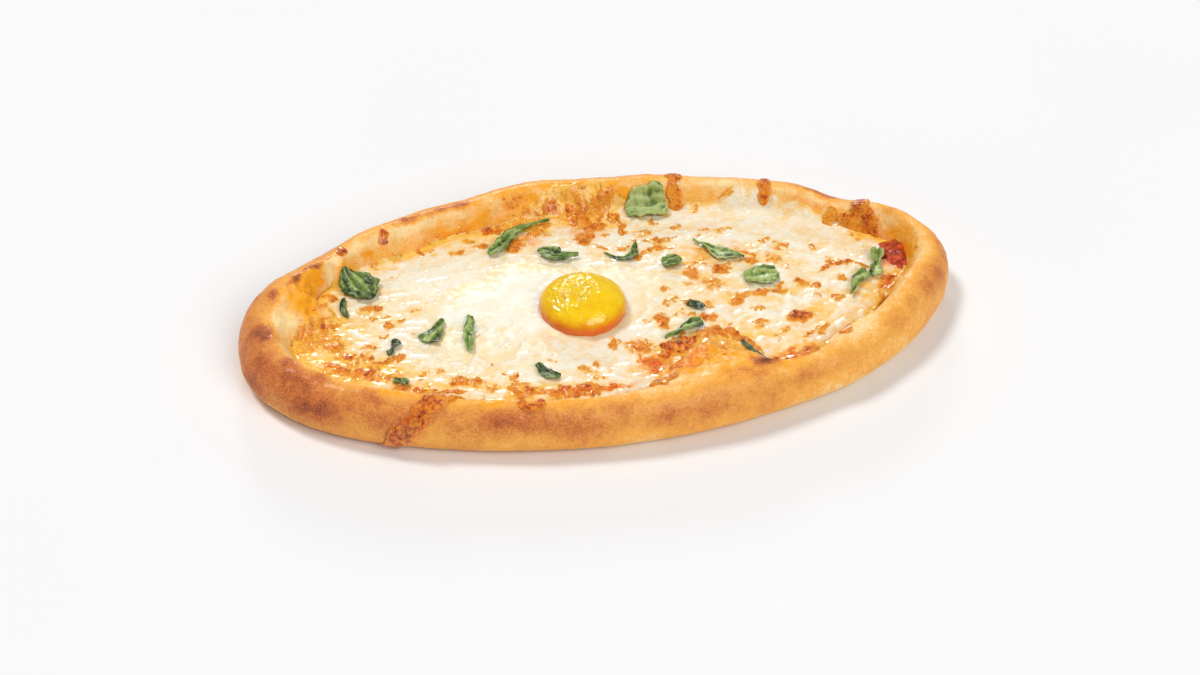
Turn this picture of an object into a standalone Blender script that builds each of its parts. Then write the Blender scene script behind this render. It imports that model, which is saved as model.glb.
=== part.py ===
"""A peinirli: an open boat of baked dough filled with melted cheese, a baked egg and torn green leaves.

Metres, +Z up. +X runs along the boat, +Y across it, and the origin is on the table under its middle.
The dough is swept round the boat: at each angle a section runs from the underside, up the bulging outer
wall, over the crest of the rim and down the inner wall to the floor. The filling is cut to fit the dough.
"""

import math

import bmesh
import bpy
from mathutils import Vector, noise
from mathutils.bvhtree import BVHTree

MM = 0.001

# Driving dimensions of the dough
HALF_LENGTH = 162 * MM  # centre to the tip, at the fattest part of the rim
HALF_WIDTH = 87 * MM
OUTLINE_POWER = 1.9  # superellipse: 2 is an ellipse, less is more pointed
OUTLINE_CENTRE = Vector((-1.0 * MM, -1.35 * MM))  # brings the lobed boat's middle to the origin
SPINE_SHARE = 0.55  # every section of the rim points at a line this share of the boat's length
CREST_HEIGHT = 25 * MM
BULGE_SHARE = 0.42  # height of the fattest part of the outer wall, as a share of the crest's
FOOT_INSET = 9 * MM  # the dough touches the table this far in from its outline
OUTER_WIDTH = 12.5 * MM  # outline to crest
INNER_WIDTH = 14 * MM  # crest to floor
FLOOR_THICKNESS = 8 * MM
HAND_MARKS = 0.6 * MM  # unevenness left all round by shaping the rim by hand

# Driving dimensions of the filling
CHEESE_LEVEL = 14.2 * MM  # top of the cheese in the middle of the boat
CHEESE_MOUND = (90 * MM, 45 * MM)  # half sizes of its slight heap in the middle
CHEESE_COAT = 2.2 * MM  # cheese on the inner wall of the rim
CHEESE_SWELL = 0.9 * MM  # height of its slow waves
CHEESE_LUMPS = 0.7 * MM  # height of the smaller lumps in it
FEATHER = 3 * MM  # width over which its edge thins out, and its bend where wall meets bed
SUNK = 1.5 * MM  # how far a piece reaches under the skin it lies on, before it is cut to it
YOLK_CENTRE = (-10 * MM, -7.3 * MM)
YOLK_RADIUS = 19.5 * MM
YOLK_HEIGHT = 13 * MM  # top of the yolk above the cheese
YOLK_WAIST = 3 * MM  # its widest level above the cheese
WHITE_CENTRE = (-33 * MM, -1.3 * MM)
WHITE_HALF_SIZE = (53 * MM, 34 * MM)
WHITE_THICKNESS = 1.5 * MM
SAUCE_CENTRE = (138 * MM, 4.7 * MM, 11.5 * MM)
SAUCE_HALF_SIZE = (8.5 * MM, 13 * MM, 4.5 * MM)
LEAF_THICKNESS = 0.6 * MM
GAP = 0.35 * MM  # clearance between neighbouring pieces

# Hand-shaped unevenness: angle round the boat and spread in degrees, then the amount.
# 0 is the tip at +X, 90 the back, 180 the tip at -X and 270 the front.
OUTLINE_LOBES = (
    (8, 11, 2.4 * MM),
    (52, 12, 1.0 * MM),
    (97, 8, 3.2 * MM),
    (145, 12, -2.5 * MM),
    (180, 12, -1.2 * MM),
    (212, 24, 4.2 * MM),
    (309, 5, 1.0 * MM),
    (338, 15, -2.4 * MM),
)
CREST_LOBES = (
    (24, 7, 1.6 * MM),
    (38, 6, -2.6 * MM),
    (92, 26, 1.5 * MM),
    (139, 5, -1.6 * MM),
    (158, 10, 1.8 * MM),
    (205, 20, 0.8 * MM),
    (258, 24, -2.2 * MM),
    (289, 11, 1.0 * MM),
    (302, 7, -3.4 * MM),
    (350, 24, -1.2 * MM),
)
# Where the crest lies nearer the outline (-) or farther in (+)
CREST_SHIFTS = (
    (18, 10, -3.5 * MM),
    (186, 18, 2.2 * MM),
    (262, 34, -1.8 * MM),
    (303, 7, -2.2 * MM),
    (340, 12, 1.2 * MM),
)
# Folds where the rim reaches in over the filling: angle, spread before and after it, and extra reach
FOLDS = (
    (288, 12, 6.5, 27 * MM),
    (166, 10, 12, 19 * MM),
)
FULL_FOLD = 12 * MM  # a fold that reaches in this far has a rounded back instead of a hollow slope
# Soft pleats down the inner wall
PLEATS = (
    (16, 8, -4.0 * MM),
    (41, 4, 3.0 * MM),
    (99, 6, 3.0 * MM),
    (122, 3, 3.0 * MM),
    (132, 3, 2.5 * MM),
    (141, 2.6, 4.0 * MM),
    (303, 5, -4.0 * MM),
)
# How far in from the outline the cheese starts
BORDER = 20 * MM
BORDER_LOBES = (
    (10, 10, 9 * MM),
    (50, 14, -5 * MM),
    (87, 8, -6 * MM),
    (104, 7, 1 * MM),
    (123, 7, 4 * MM),
    (166, 13, 22 * MM),
    (193, 10, 4 * MM),
    (216, 12, 3 * MM),
    (287, 10, 26 * MM),
    (303, 6, -4 * MM),
    (335, 12, 4 * MM),
)

# Cheese that ran or fell over the rim: width, thickness, and its path as angles and places on the section.
# The place is 0 at the foot, 1 at the bulge, 2 on the crest and 3 at the floor.
RUNS = (
    (8.5 * MM, 2.4 * MM, ((240, 2.9), (238.5, 2.4), (236.5, 1.9), (233.8, 1.4), (230.4, 0.8), (228.6, 0.6))),
    (12 * MM, 4.2 * MM, ((29.5, 2.8), (28.8, 2.4), (29.8, 2.0), (31, 1.75))),
    (6 * MM, 1.8 * MM, ((68.5, 2.8), (69.5, 2.35), (69.8, 1.85))),
    (4.5 * MM, 1.5 * MM, ((50.5, 2.7), (51.5, 2.3), (52.5, 1.85))),
    (8 * MM, 1.5 * MM, ((84, 2.7), (86, 2.3), (87.5, 1.95))),
)
# Browned bits of cheese that lie apart on the rim: angle, place on the section, length, width, height
CRUMBS = (
    (251.5, 1.90, 10 * MM, 7 * MM, 2.4 * MM),
    (277, 2.14, 11 * MM, 6 * MM, 2.0 * MM),
    (312, 2.10, 8 * MM, 5 * MM, 2.0 * MM),
    (128.3, 2.18, 10 * MM, 4.5 * MM, 1.8 * MM),
    (138.6, 2.02, 6 * MM, 4 * MM, 1.8 * MM),
)

# Torn leaves: name, then in mm the path over the filling, the width, the curl of the sides and the wave
LEAVES = (
    ("leaf_left_large", ((-111, 35), (-106, 29), (-102, 19)), 15, 3.0, 1.2),
    ("leaf_left_stem", ((-113, 21), (-113.5, 14), (-113, 9)), 3, 0.8, 0.4),
    ("leaf_back_long", ((-44, 40), (-37, 47), (-28, 57), (-15, 61)), 5, 1.6, 0.6),
    ("leaf_back_small", ((-21, 39), (-13, 33), (-5, 32)), 6.5, 1.6, 0.8),
    ("leaf_back_curl", ((8, 32), (13, 27), (20, 27), (24, 37)), 2.4, 0.8, 0.3),
    ("leaf_back_large", ((26, 59), (34, 63), (44, 66)), 15, 1.8, 1.2),
    ("leaf_right_small", ((32, 17), (41, 20)), 8, 2.0, 1.0),
    ("leaf_right_stem", ((51, 32), (55, 25), (60, 20), (68, 16)), 5, 1.4, 0.6),
    ("leaf_right_round", ((68, -1), (80, 3)), 12, 2.0, 1.2),
    ("leaf_tip_lower", ((110, -19), (116, -11), (121, -8)), 6.5, 1.6, 0.8),
    ("leaf_tip_upper", ((124, -9), (128, -1), (130, 8)), 6.5, 1.8, 0.8),
    ("leaf_fold_flat", ((23, -35), (31, -30), (39, -26)), 7, 1.5, 0.8),
    ("leaf_fold_dark", ((37, -11), (42, -17)), 4.5, 1.2, 0.5),
    ("leaf_fold_strip", ((54, -42), (57, -51), (62, -59), (68, -64)), 2.6, 0.8, 0.3),
    ("leaf_front_small", ((-37, -42), (-34, -47), (-30, -51)), 4.5, 1.4, 0.6),
    ("leaf_mid_torn", ((-82, -17), (-76, -14), (-73, -5)), 8, 1.4, 0.8),
    ("leaf_mid_strip", ((-60, -4), (-62, -14), (-64, -27)), 4, 1.2, 0.5),
    ("leaf_mid_dark", ((-99, -21), (-93, -13)), 5, 1.2, 0.6),
    ("leaf_edge_bit", ((-99, -39), (-93, -42)), 4, 1.0, 0.5),
)

# Fineness of the faceted solids
STEPS_ROUND = 112  # sections of dough and cheese round the boat
STEPS_FOOT = 3  # facets from the table up to the bulge
STEPS_OUTER = 5  # from the bulge up to the crest
STEPS_INNER = 8  # from the crest down to the floor
SLIVER = 0.03 * MM  # edges shorter than this are closed up after a cut


# The shape of the dough


def away_from(degrees, centre):
    """The angle from the centre angle, between -180 and 180."""
    return (degrees - centre + 180) % 360 - 180


def lobes(degrees, table):
    """The sum of the table's soft bumps at this angle."""
    total = 0.0
    for centre, spread, amount in table:
        total += amount * math.exp(-((away_from(degrees, centre) / spread) ** 2))
    return total


def fold_reach(degrees):
    """How far the folds push the foot of the inner wall in."""
    reach = 0.0
    for centre, before, after, amount in FOLDS:
        away = away_from(degrees, centre)
        reach += amount * math.exp(-(abs(away / (after if away > 0 else before)) ** 2.4))
    return reach


def wander(degrees, seed, waves):
    """A smooth uneven value between about -1 and 1 that closes on itself round the boat."""
    angle, radius = math.radians(degrees), waves / (2 * math.pi)
    return 1.6 * noise.noise(Vector((radius * math.cos(angle), radius * math.sin(angle), seed)))


def spine_point(degrees):
    """The point in the middle of the boat that a section points at."""
    return OUTLINE_CENTRE + Vector((SPINE_SHARE * HALF_LENGTH * math.cos(math.radians(degrees)), 0))


def outline_point(degrees):
    """The fattest line of the rim, seen from above."""
    along, across = math.cos(math.radians(degrees)), math.sin(math.radians(degrees))
    x = math.copysign(HALF_LENGTH * abs(along) ** (2 / OUTLINE_POWER), along)
    y = math.copysign(HALF_WIDTH * abs(across) ** (2 / OUTLINE_POWER), across)
    base = OUTLINE_CENTRE + Vector((x, y))
    return base + (base - spine_point(degrees)).normalized() * lobes(degrees, OUTLINE_LOBES)


def inward_point(degrees, distance):
    """The point seen from above that lies the distance in from the outline."""
    edge = outline_point(degrees)
    return edge + (spine_point(degrees) - edge).normalized() * distance


def even_angles():
    """Angles in pairs a and -a, about evenly spaced along the outline."""
    fine = 1800
    travelled = [0.0]
    for step in range(fine):
        angle = math.radians((step + 0.5) * 180 / fine)
        stride = math.hypot(HALF_LENGTH * math.sin(angle), HALF_WIDTH * math.cos(angle))
        travelled.append(travelled[-1] + stride)
    half = []
    step = 0
    for number in range(STEPS_ROUND // 2):
        while travelled[step] < travelled[-1] * 2 * number / STEPS_ROUND:
            step += 1
        half.append(step * 180 / fine)
    return half + [180.0] + [360 - angle for angle in reversed(half[1:])]


def section(degrees):
    """Crest height, crest's distance in from the outline, inner wall's width, and fold share."""
    crest = CREST_HEIGHT + lobes(degrees, CREST_LOBES) + HAND_MARKS * wander(degrees, 1.3, 32)
    outer = OUTER_WIDTH + lobes(degrees, CREST_SHIFTS) + HAND_MARKS * wander(degrees, 4.7, 32)
    reach = fold_reach(degrees)
    inner = INNER_WIDTH + reach + lobes(degrees, PLEATS) + 1.5 * HAND_MARKS * wander(degrees, 8.1, 44)
    return crest, outer, inner, min(1.0, reach / FULL_FOLD)


def wall_height(share, crest, fold):
    """Height of the inner wall, where share is 0 at the crest and 1 at the floor."""
    share = min(max(share, 0.0), 1.0)
    hollow = 0.5 + 0.5 * math.cos(math.pi * share**0.92)
    rounded = max(0.0, math.cos(0.5 * math.pi * share**1.25)) ** 0.8
    return FLOOR_THICKNESS + (crest - FLOOR_THICKNESS) * (hollow + 0.75 * fold * (rounded - hollow))


def skin(degrees, place):
    """A point on the dough: place 0 is the foot, 1 the bulge, 2 the crest and 3 the floor."""
    crest, outer, inner, fold = section(degrees)
    bulge = BULGE_SHARE * crest
    turn = 0.5 * math.pi * (place % 1.0)
    if place < 1:
        inward, height = FOOT_INSET * (1 - math.sin(turn)), bulge * (1 - math.cos(turn))
    elif place < 2:
        inward, height = outer * (1 - math.cos(turn)), bulge + (crest - bulge) * math.sin(turn)
    else:
        share = min(place - 2, 1.0)
        inward, height = outer + inner * share, wall_height(share, crest, fold)
    return Vector((*inward_point(degrees, inward), height))


def skin_frame(degrees, place):
    """How the skin moves with the angle and with the place, and its outward normal."""
    small = 0.02
    by_angle = (skin(degrees + 1, place) - skin(degrees - 1, place)) / 2
    by_place = (skin(degrees, place + small) - skin(degrees, place - small)) / (2 * small)
    return by_angle, by_place, by_place.cross(by_angle).normalized()


def beside(degrees, place, offset):
    """The angle and place reached by going a short way, offset, along the skin."""
    by_angle, by_place, _ = skin_frame(degrees, place)
    aa, ap, pp = by_angle.dot(by_angle), by_angle.dot(by_place), by_place.dot(by_place)
    oa, op = offset.dot(by_angle), offset.dot(by_place)
    det = aa * pp - ap * ap
    return degrees + (oa * pp - op * ap) / det, place + (op * aa - oa * ap) / det


# Meshes and cuts


def clear_scene():
    for item in list(bpy.data.objects):
        bpy.data.objects.remove(item)


def make_material(name, colour, roughness):
    made = bpy.data.materials.new(name)
    made.use_nodes = True
    shader = made.node_tree.nodes["Principled BSDF"]
    shader.inputs["Base Color"].default_value = (*colour, 1)
    shader.inputs["Roughness"].default_value = roughness
    shader.inputs["Metallic"].default_value = 0.0
    return made


def new_object(name, vertices, faces, material=None):
    """An object whose vertices are merged where they meet and whose faces point outwards."""
    work = bmesh.new()
    points = [work.verts.new(vertex) for vertex in vertices]
    for face in faces:
        work.faces.new([points[index] for index in face])
    bmesh.ops.remove_doubles(work, verts=work.verts, dist=1e-6)
    bmesh.ops.recalc_face_normals(work, faces=work.faces)
    mesh = bpy.data.meshes.new(name)
    work.to_mesh(mesh)
    work.free()
    mesh.shade_smooth()
    if material:
        mesh.materials.append(material)
    made = bpy.data.objects.new(name, mesh)
    bpy.context.scene.collection.objects.link(made)
    return made


def ring_faces(rings, count):
    """Quads between each ring of vertices and the next."""
    faces = []
    for ring in range(rings - 1):
        for i in range(count):
            a, b = ring * count + i, ring * count + (i + 1) % count
            faces.append((a, b, b + count, a + count))
    return faces


def fan_faces(rings, count):
    """Triangles from vertex 0 to the first ring, then quads between the rings that follow it."""
    faces = [(0, 1 + i, 1 + (i + 1) % count) for i in range(count)]
    return faces + [tuple(1 + vertex for vertex in face) for face in ring_faces(rings, count)]


def halved(faces):
    """Every quad as two triangles, always along the same diagonal."""
    triangles = []
    for face in faces:
        triangles.append(face[:3])
        if len(face) > 3:
            triangles.append((face[0], *face[2:]))
    return triangles


def circle(count):
    return [(math.cos(2 * math.pi * i / count), math.sin(2 * math.pi * i / count)) for i in range(count)]


def apply_boolean(target, other, operation):
    """Applies one Boolean with an object or a collection, and keeps the result as target's mesh."""
    change = target.modifiers.new(operation.lower(), "BOOLEAN")
    change.operation = operation
    change.solver = "EXACT"
    if isinstance(other, bpy.types.Collection):
        change.operand_type = "COLLECTION"
        change.collection = other
    else:
        change.object = other
    bpy.context.view_layer.update()
    graph = bpy.context.evaluated_depsgraph_get()
    mesh = bpy.data.meshes.new_from_object(target.evaluated_get(graph))
    target.modifiers.clear()
    target.data = mesh
    clean(mesh)


def clean(mesh):
    """Closes up the slivers that a cut leaves and drops all but the largest connected piece."""
    work = bmesh.new()
    work.from_mesh(mesh)
    bmesh.ops.triangulate(work, faces=work.faces, quad_method="BEAUTY", ngon_method="BEAUTY")
    bmesh.ops.remove_doubles(work, verts=work.verts, dist=SLIVER)
    bmesh.ops.dissolve_degenerate(work, dist=SLIVER, edges=work.edges)
    bmesh.ops.triangulate(work, faces=work.faces)
    pieces = connected_pieces(work)
    for piece in sorted(pieces, key=len)[:-1]:
        bmesh.ops.delete(work, geom=list(piece), context="VERTS")
    work.to_mesh(mesh)
    work.free()


def connected_pieces(work):
    """The vertices of a bmesh as one set for each connected piece."""
    left = set(work.verts)
    pieces = []
    while left:
        front = [left.pop()]
        piece = set(front)
        while front:
            vertex = front.pop()
            reached = {edge.other_vert(vertex) for edge in vertex.link_edges} & left
            left -= reached
            piece |= reached
            front += reached
        pieces.append(piece)
    return pieces


def grown(source, distance):
    """A copy whose faces all lie the distance outside the source's."""
    copy = source.copy()
    copy.data = source.data.copy()
    bpy.context.scene.collection.objects.link(copy)
    work = bmesh.new()
    work.from_mesh(copy.data)
    moves = [vertex.normal * distance * min(vertex.calc_shell_factor(), 2.0) for vertex in work.verts]
    for vertex, move in zip(work.verts, moves):
        vertex.co += move
    work.to_mesh(copy.data)
    work.free()
    return copy


def cut_by(target, *neighbours):
    """Cuts target back from each neighbour, leaving the gap between them."""
    for neighbour in neighbours:
        cutter = grown(neighbour, GAP)
        apply_boolean(target, cutter, "DIFFERENCE")
        bpy.data.objects.remove(cutter)


def fuse(target, pieces):
    """Joins the pieces to target by one union, and clears them away."""
    group = bpy.data.collections.new("pieces")
    bpy.context.scene.collection.children.link(group)
    for piece in pieces:
        bpy.context.scene.collection.objects.unlink(piece)
        group.objects.link(piece)
    apply_boolean(target, group, "UNION")
    for piece in pieces:
        bpy.data.objects.remove(piece)
    bpy.data.collections.remove(group)


def tree_of(*objects):
    """One search tree over several pieces."""
    vertices, faces = [], []
    for item in objects:
        start = len(vertices)
        vertices += [vertex.co.copy() for vertex in item.data.vertices]
        faces += [tuple(start + vertex for vertex in face.vertices) for face in item.data.polygons]
    return BVHTree.FromPolygons(vertices, faces)


def height_at(tree, x, y):
    """Height of the topmost surface over this point of the table."""
    return tree.ray_cast(Vector((x, y, 4 * CREST_HEIGHT)), Vector((0, 0, -1)))[0].z


def highest_near(tree, x, y, reach):
    """The highest point of a small patch, so that a thin piece clears what it lies on."""
    steps = (-reach, 0.0, reach)
    return max(height_at(tree, x + dx, y + dy) for dx in steps for dy in steps)


# The pieces


def make_dough(material):
    """One closed piece: outer wall, crest, inner wall, floor, and a flat underside."""
    angles = even_angles()
    places = [i / STEPS_FOOT for i in range(STEPS_FOOT)]
    places += [1 + i / STEPS_OUTER for i in range(STEPS_OUTER)]
    places += [2 + i / STEPS_INNER for i in range(STEPS_INNER + 1)]
    vertices = [skin(angle, place) for place in places for angle in angles]
    faces = ring_faces(len(places), STEPS_ROUND)
    floor = (len(places) - 1) * STEPS_ROUND
    faces.append(tuple(range(floor, floor + STEPS_ROUND)))
    faces.append(tuple(reversed(range(STEPS_ROUND))))
    return new_object("dough", vertices, faces, material)


def cheese_level(x, y):
    """Top of the bed: a slight mound with slow waves, and with smaller lumps where no egg ran over it."""
    wave = noise.noise(Vector((x / (22 * MM), y / (22 * MM), 3.1)))
    lump = noise.noise(Vector((x / (9 * MM), y / (8 * MM), 7.4)))
    mound = math.exp(-((x / CHEESE_MOUND[0]) ** 2) - (y / CHEESE_MOUND[1]) ** 2)
    along, across = (x - WHITE_CENTRE[0]) / WHITE_HALF_SIZE[0], (y - WHITE_CENTRE[1]) / WHITE_HALF_SIZE[1]
    bare = min(max(4 * (math.hypot(along, across) - 1.1), 0.0), 1.0)
    return CHEESE_LEVEL + CHEESE_SWELL * (0.6 * wave + mound) + CHEESE_LUMPS * lump * bare


def cheese_border(degrees):
    """Share of the inner wall at which the cheese ends."""
    _, outer, inner, _ = section(degrees)
    return min(max((BORDER + lobes(degrees, BORDER_LOBES) - outer) / inner, 0.04), 0.93)


def cheese_on_wall(degrees, share):
    """A point on top of the cheese, where share runs from the crest at 0 to the floor's edge at 1."""
    crest, outer, inner, fold = section(degrees)
    x, y = inward_point(degrees, outer + inner * share)
    wall = wall_height(share, crest, fold)
    past_border = (share - cheese_border(degrees)) * inner
    if past_border <= 0:
        return Vector((x, y, wall - SUNK))
    wall += CHEESE_COAT * min(1.0, past_border / FEATHER)
    level = cheese_level(x, y)
    blend = max(FEATHER - abs(wall - level), 0.0) / FEATHER
    return Vector((x, y, max(wall, level) + blend * blend * FEATHER / 4))


def make_cheese_bed(material):
    """The cheese before it is cut to the dough: its top, and a flat base sunk into the floor."""
    angles = even_angles()
    starts = [cheese_border(angle) - 0.08 for angle in angles]
    foot = 1.06  # the wall's cheese runs on past the floor's edge by this share
    on_wall, on_bed = (0.0, 0.2, 0.55, 1.0), (0.14, 0.3, 0.48, 0.66, 0.84, 1.0)
    vertices = []
    for step in on_wall:
        for angle, start in zip(angles, starts):
            vertices.append(cheese_on_wall(angle, start + (foot - start) * step))
    edges = vertices[-STEPS_ROUND:]
    for share in on_bed:
        for angle, edge in zip(angles, edges):
            x, y = edge.xy.lerp(spine_point(angle), share)
            vertices.append(Vector((x, y, cheese_level(x, y))))
    faces = ring_faces(len(on_wall) + len(on_bed), STEPS_ROUND)
    base = len(vertices)
    vertices += [Vector((top.x, top.y, FLOOR_THICKNESS / 2)) for top in vertices[:STEPS_ROUND]]
    for i in range(STEPS_ROUND):
        after = (i + 1) % STEPS_ROUND
        faces.append((base + i, base + after, after, i))
    faces.append(tuple(reversed(range(base, base + STEPS_ROUND))))
    return new_object("cheese", vertices, faces, material)


def smooth_path(points, count):
    """A Catmull-Rom curve through the points, as count + 1 points."""
    ends = [Vector(point) for point in (points[0], *points, points[-1])]
    made = []
    for number in range(count + 1):
        along = number / count * (len(points) - 1)
        k = min(int(along), len(points) - 2)
        t = along - k
        p0, p1, p2, p3 = ends[k : k + 4]
        bend = (2 * p0 - 5 * p1 + 4 * p2 - p3) * t * t + (3 * p1 - p0 - 3 * p2 + p3) * t**3
        made.append(0.5 * (2 * p1 + (p2 - p0) * t + bend))
    return made


def make_run(width, thickness, path):
    """A tongue of cheese lying along the skin, sunk a little into it."""
    across, along = 7, 12
    line = smooth_path(path, along)
    vertices = []
    for number, spot in enumerate(line):
        heading = skin(*line[min(number + 1, along)]) - skin(*line[max(number - 1, 0)])
        side = heading.cross(skin_frame(*spot)[2]).normalized()
        taper = math.sin(math.pi * (0.12 + 0.80 * number / along)) ** 0.6
        top, base = [], []
        for k in range(across):
            v = 2 * k / (across - 1) - 1
            beneath = beside(*spot, side * (v * width / 2 * taper))
            out = skin_frame(*beneath)[2]
            top.append(skin(*beneath) + out * thickness * taper * (0.1 + 0.9 * math.sqrt(1 - v * v)))
            base.append(skin(*beneath) - out * SUNK)
        vertices += top + base[::-1]
    ring = 2 * across
    faces = ring_faces(along + 1, ring)
    faces.append(tuple(range(ring)))
    faces.append(tuple(reversed(range(along * ring, (along + 1) * ring))))
    return new_object("run", vertices, faces)


def make_cheese(dough, sauce, material):
    """The bed of cheese with what ran over the rim, as one melted piece."""
    cheese = make_cheese_bed(material)
    fuse(cheese, [make_run(*run) for run in RUNS])
    cut_by(cheese, dough, sauce)
    return cheese


def make_dome(name, centre, half_size, turn, rings, count, material=None):
    """A flattened lumpy ball, turned about the vertical."""
    ball = [Vector((0, 0, 1))]
    for ring in range(1, rings):
        up = math.pi * ring / rings
        ball += [Vector((math.sin(up) * c, math.sin(up) * s, math.cos(up))) for c, s in circle(count)]
    faces = fan_faces(rings - 1, count)
    last, start = len(ball), len(ball) - count
    faces += [(start + i, last, start + (i + 1) % count) for i in range(count)]
    ball.append(Vector((0, 0, -1)))
    cos, sin = math.cos(turn), math.sin(turn)
    vertices = []
    for point in ball:
        lump = 1 + 0.18 * noise.noise(1.7 * point + centre / (2.5 * MM))
        x, y, z = (lump * point[axis] * half_size[axis] for axis in range(3))
        vertices.append(centre + Vector((x * cos - y * sin, x * sin + y * cos, z)))
    return new_object(name, vertices, faces, material)


def make_crumb(degrees, place, length, width, height):
    """A browned bit of cheese, half sunk in the rim."""
    along, _, out = skin_frame(degrees, place)
    centre = skin(degrees, place) + 0.2 * height * out
    return make_dome("crumb", centre, (length / 2, width / 2, height), math.atan2(along.y, along.x), 6, 12)


def make_sauce(dough, material):
    """The tomato sauce that shows between the cheese and the tip of the rim."""
    sauce = make_dome("tomato_sauce", Vector(SAUCE_CENTRE), SAUCE_HALF_SIZE, 0.0, 8, 18, material)
    cut_by(sauce, dough)
    return sauce


def white_reach(angle):
    """How far the egg white ran in a direction, as a share of its half sizes."""
    waves = 0.16 * math.sin(2 * angle + 0.6) + 0.10 * math.sin(3 * angle + 2.2) + 0.06 * math.sin(5 * angle)
    return 1 + waves


def make_white(tree, material):
    """A thin pad that follows the waves of the cheese and thins out to its edge."""
    count, shares = 40, (0.3, 0.55, 0.78, 0.93, 1.0)
    centre = Vector(WHITE_CENTRE)
    base = [(centre.x, centre.y)]
    thickness = [WHITE_THICKNESS]
    for share in shares:
        for c, s in circle(count):
            reach = share * white_reach(math.atan2(s, c))
            x, y = reach * c * WHITE_HALF_SIZE[0], reach * s * WHITE_HALF_SIZE[1]
            base.append((centre.x + x, centre.y + y))
            thickness.append(WHITE_THICKNESS * (1 - 0.65 * share**6))
    below = [Vector((x, y, height_at(tree, x, y) + GAP)) for x, y in base]
    above = [point + Vector((0, 0, thick)) for point, thick in zip(below, thickness)]
    sheet = halved(fan_faces(len(shares), count))
    half = len(above)
    faces = sheet + [tuple(half + vertex for vertex in reversed(face)) for face in sheet]
    for i in range(count):
        a, b = half - count + i, half - count + (i + 1) % count
        faces += [(a, a + half, b + half), (a, b + half, b)]
    return new_object("egg_white", above + below, faces, material)


def make_yolk(cheese, white, material):
    """A slumped ball, widest just above the white that it rests on."""
    x, y = YOLK_CENTRE
    level = cheese_level(x, y)
    count, rings = 28, 8
    vertices = [Vector((x, y, level + YOLK_HEIGHT))]
    for ring in range(1, rings + 1):
        up = 0.62 * math.pi * ring / rings
        radius = YOLK_RADIUS * math.sin(up) ** 0.85
        height = level + YOLK_WAIST + (YOLK_HEIGHT - YOLK_WAIST) * math.cos(up)
        vertices += [Vector((x + radius * c, y + radius * s, height)) for c, s in circle(count)]
    faces = fan_faces(rings, count)
    faces.append(tuple(reversed(range(len(vertices) - count, len(vertices)))))
    yolk = new_object("egg_yolk", vertices, faces, material)
    cut_by(yolk, cheese, white)


def make_leaf(name, path, width, curl, wave, tree, material):
    """A thin wavy sheet along a path; both faces are split into triangles alike."""
    points = [Vector(point) * MM for point in path]
    length = sum((b - a).length for a, b in zip(points, points[1:]))
    steps = max(4, min(7, round(length / (3 * MM))))
    across = 5 if width > 5.5 else 3
    line = smooth_path(points, steps)
    seed = sum(ord(letter) for letter in name)
    above = []
    for number, spot in enumerate(line):
        share = number / steps
        side = (line[min(number + 1, steps)] - line[max(number - 1, 0)]).normalized().orthogonal()
        spread = width / 2 * MM * max(0.25, math.sin(math.pi * (0.08 + 0.84 * share)) ** 0.6)
        for k in range(across):
            v = 2 * k / (across - 1) - 1
            ragged = 1 + 0.22 * noise.noise(Vector((seed, 3 * share, v * 2)))
            x, y = spot + side * spread * v * ragged
            lift = curl * v * v * (0.4 + 0.6 * share)
            lift += wave * (0.5 + 0.5 * math.sin(9 * share + 2 * v + seed))
            rest = highest_near(tree, x, y, 1 * MM) + 1.4 * GAP + LEAF_THICKNESS
            above.append(Vector((x, y, rest + lift * MM)))
    return new_object(name, *sheet_between(above, steps, across), material)


def sheet_between(above, steps, across):
    """A closed sheet under a grid of points, as vertices and faces."""
    half = len(above)
    vertices = above + [point - Vector((0, 0, LEAF_THICKNESS)) for point in above]
    quads = []
    for i in range(steps):
        for a in range(i * across, (i + 1) * across - 1):
            quads.append((a, a + 1, a + 1 + across, a + across))
    sheet = halved(quads)
    faces = sheet + [tuple(half + vertex for vertex in reversed(face)) for face in sheet]
    rim = list(range(across)) + [(i + 1) * across - 1 for i in range(1, steps)]
    rim += list(reversed(range(steps * across, (steps + 1) * across)))
    rim += [i * across for i in reversed(range(1, steps))]
    for a, b in zip(rim, rim[1:] + rim[:1]):
        faces += [(a, a + half, b + half), (a, b + half, b)]
    return vertices, faces


def main():
    clear_scene()
    crust = make_material("baked_dough", (0.74, 0.42, 0.17), 0.6)
    melted = make_material("melted_cheese", (0.90, 0.80, 0.55), 0.4)
    yellow = make_material("egg_yolk", (0.93, 0.52, 0.03), 0.2)
    pale = make_material("egg_white", (0.93, 0.91, 0.82), 0.2)
    green = make_material("leaf", (0.10, 0.26, 0.07), 0.45)
    red = make_material("tomato_sauce", (0.50, 0.07, 0.02), 0.3)
    dough = make_dough(crust)
    sauce = make_sauce(dough, red)
    cheese = make_cheese(dough, sauce, melted)
    fuse(dough, [make_crumb(*crumb) for crumb in CRUMBS])
    white = make_white(tree_of(cheese, dough), pale)
    make_yolk(cheese, white, yellow)
    tree = tree_of(dough, cheese, white, sauce)
    for leaf in LEAVES:
        make_leaf(*leaf, tree, green)


main()
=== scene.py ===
"""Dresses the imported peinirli: baked crust, melted cheese, egg, sauce and leaves, on a plain white stage.

Metres, +Z up. +X runs along the boat and +Y across it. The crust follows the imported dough: at each angle
round the boat a section runs from the foot (place 0) over the bulge (1) and the crest (2) to the floor (3).
"""

import math

import bmesh
import bpy
import numpy as np
from bpy.props import FloatProperty, FloatVectorProperty, IntProperty, PointerProperty
from mathutils import Matrix, Vector, noise
from mathutils.bvhtree import BVHTree


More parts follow.
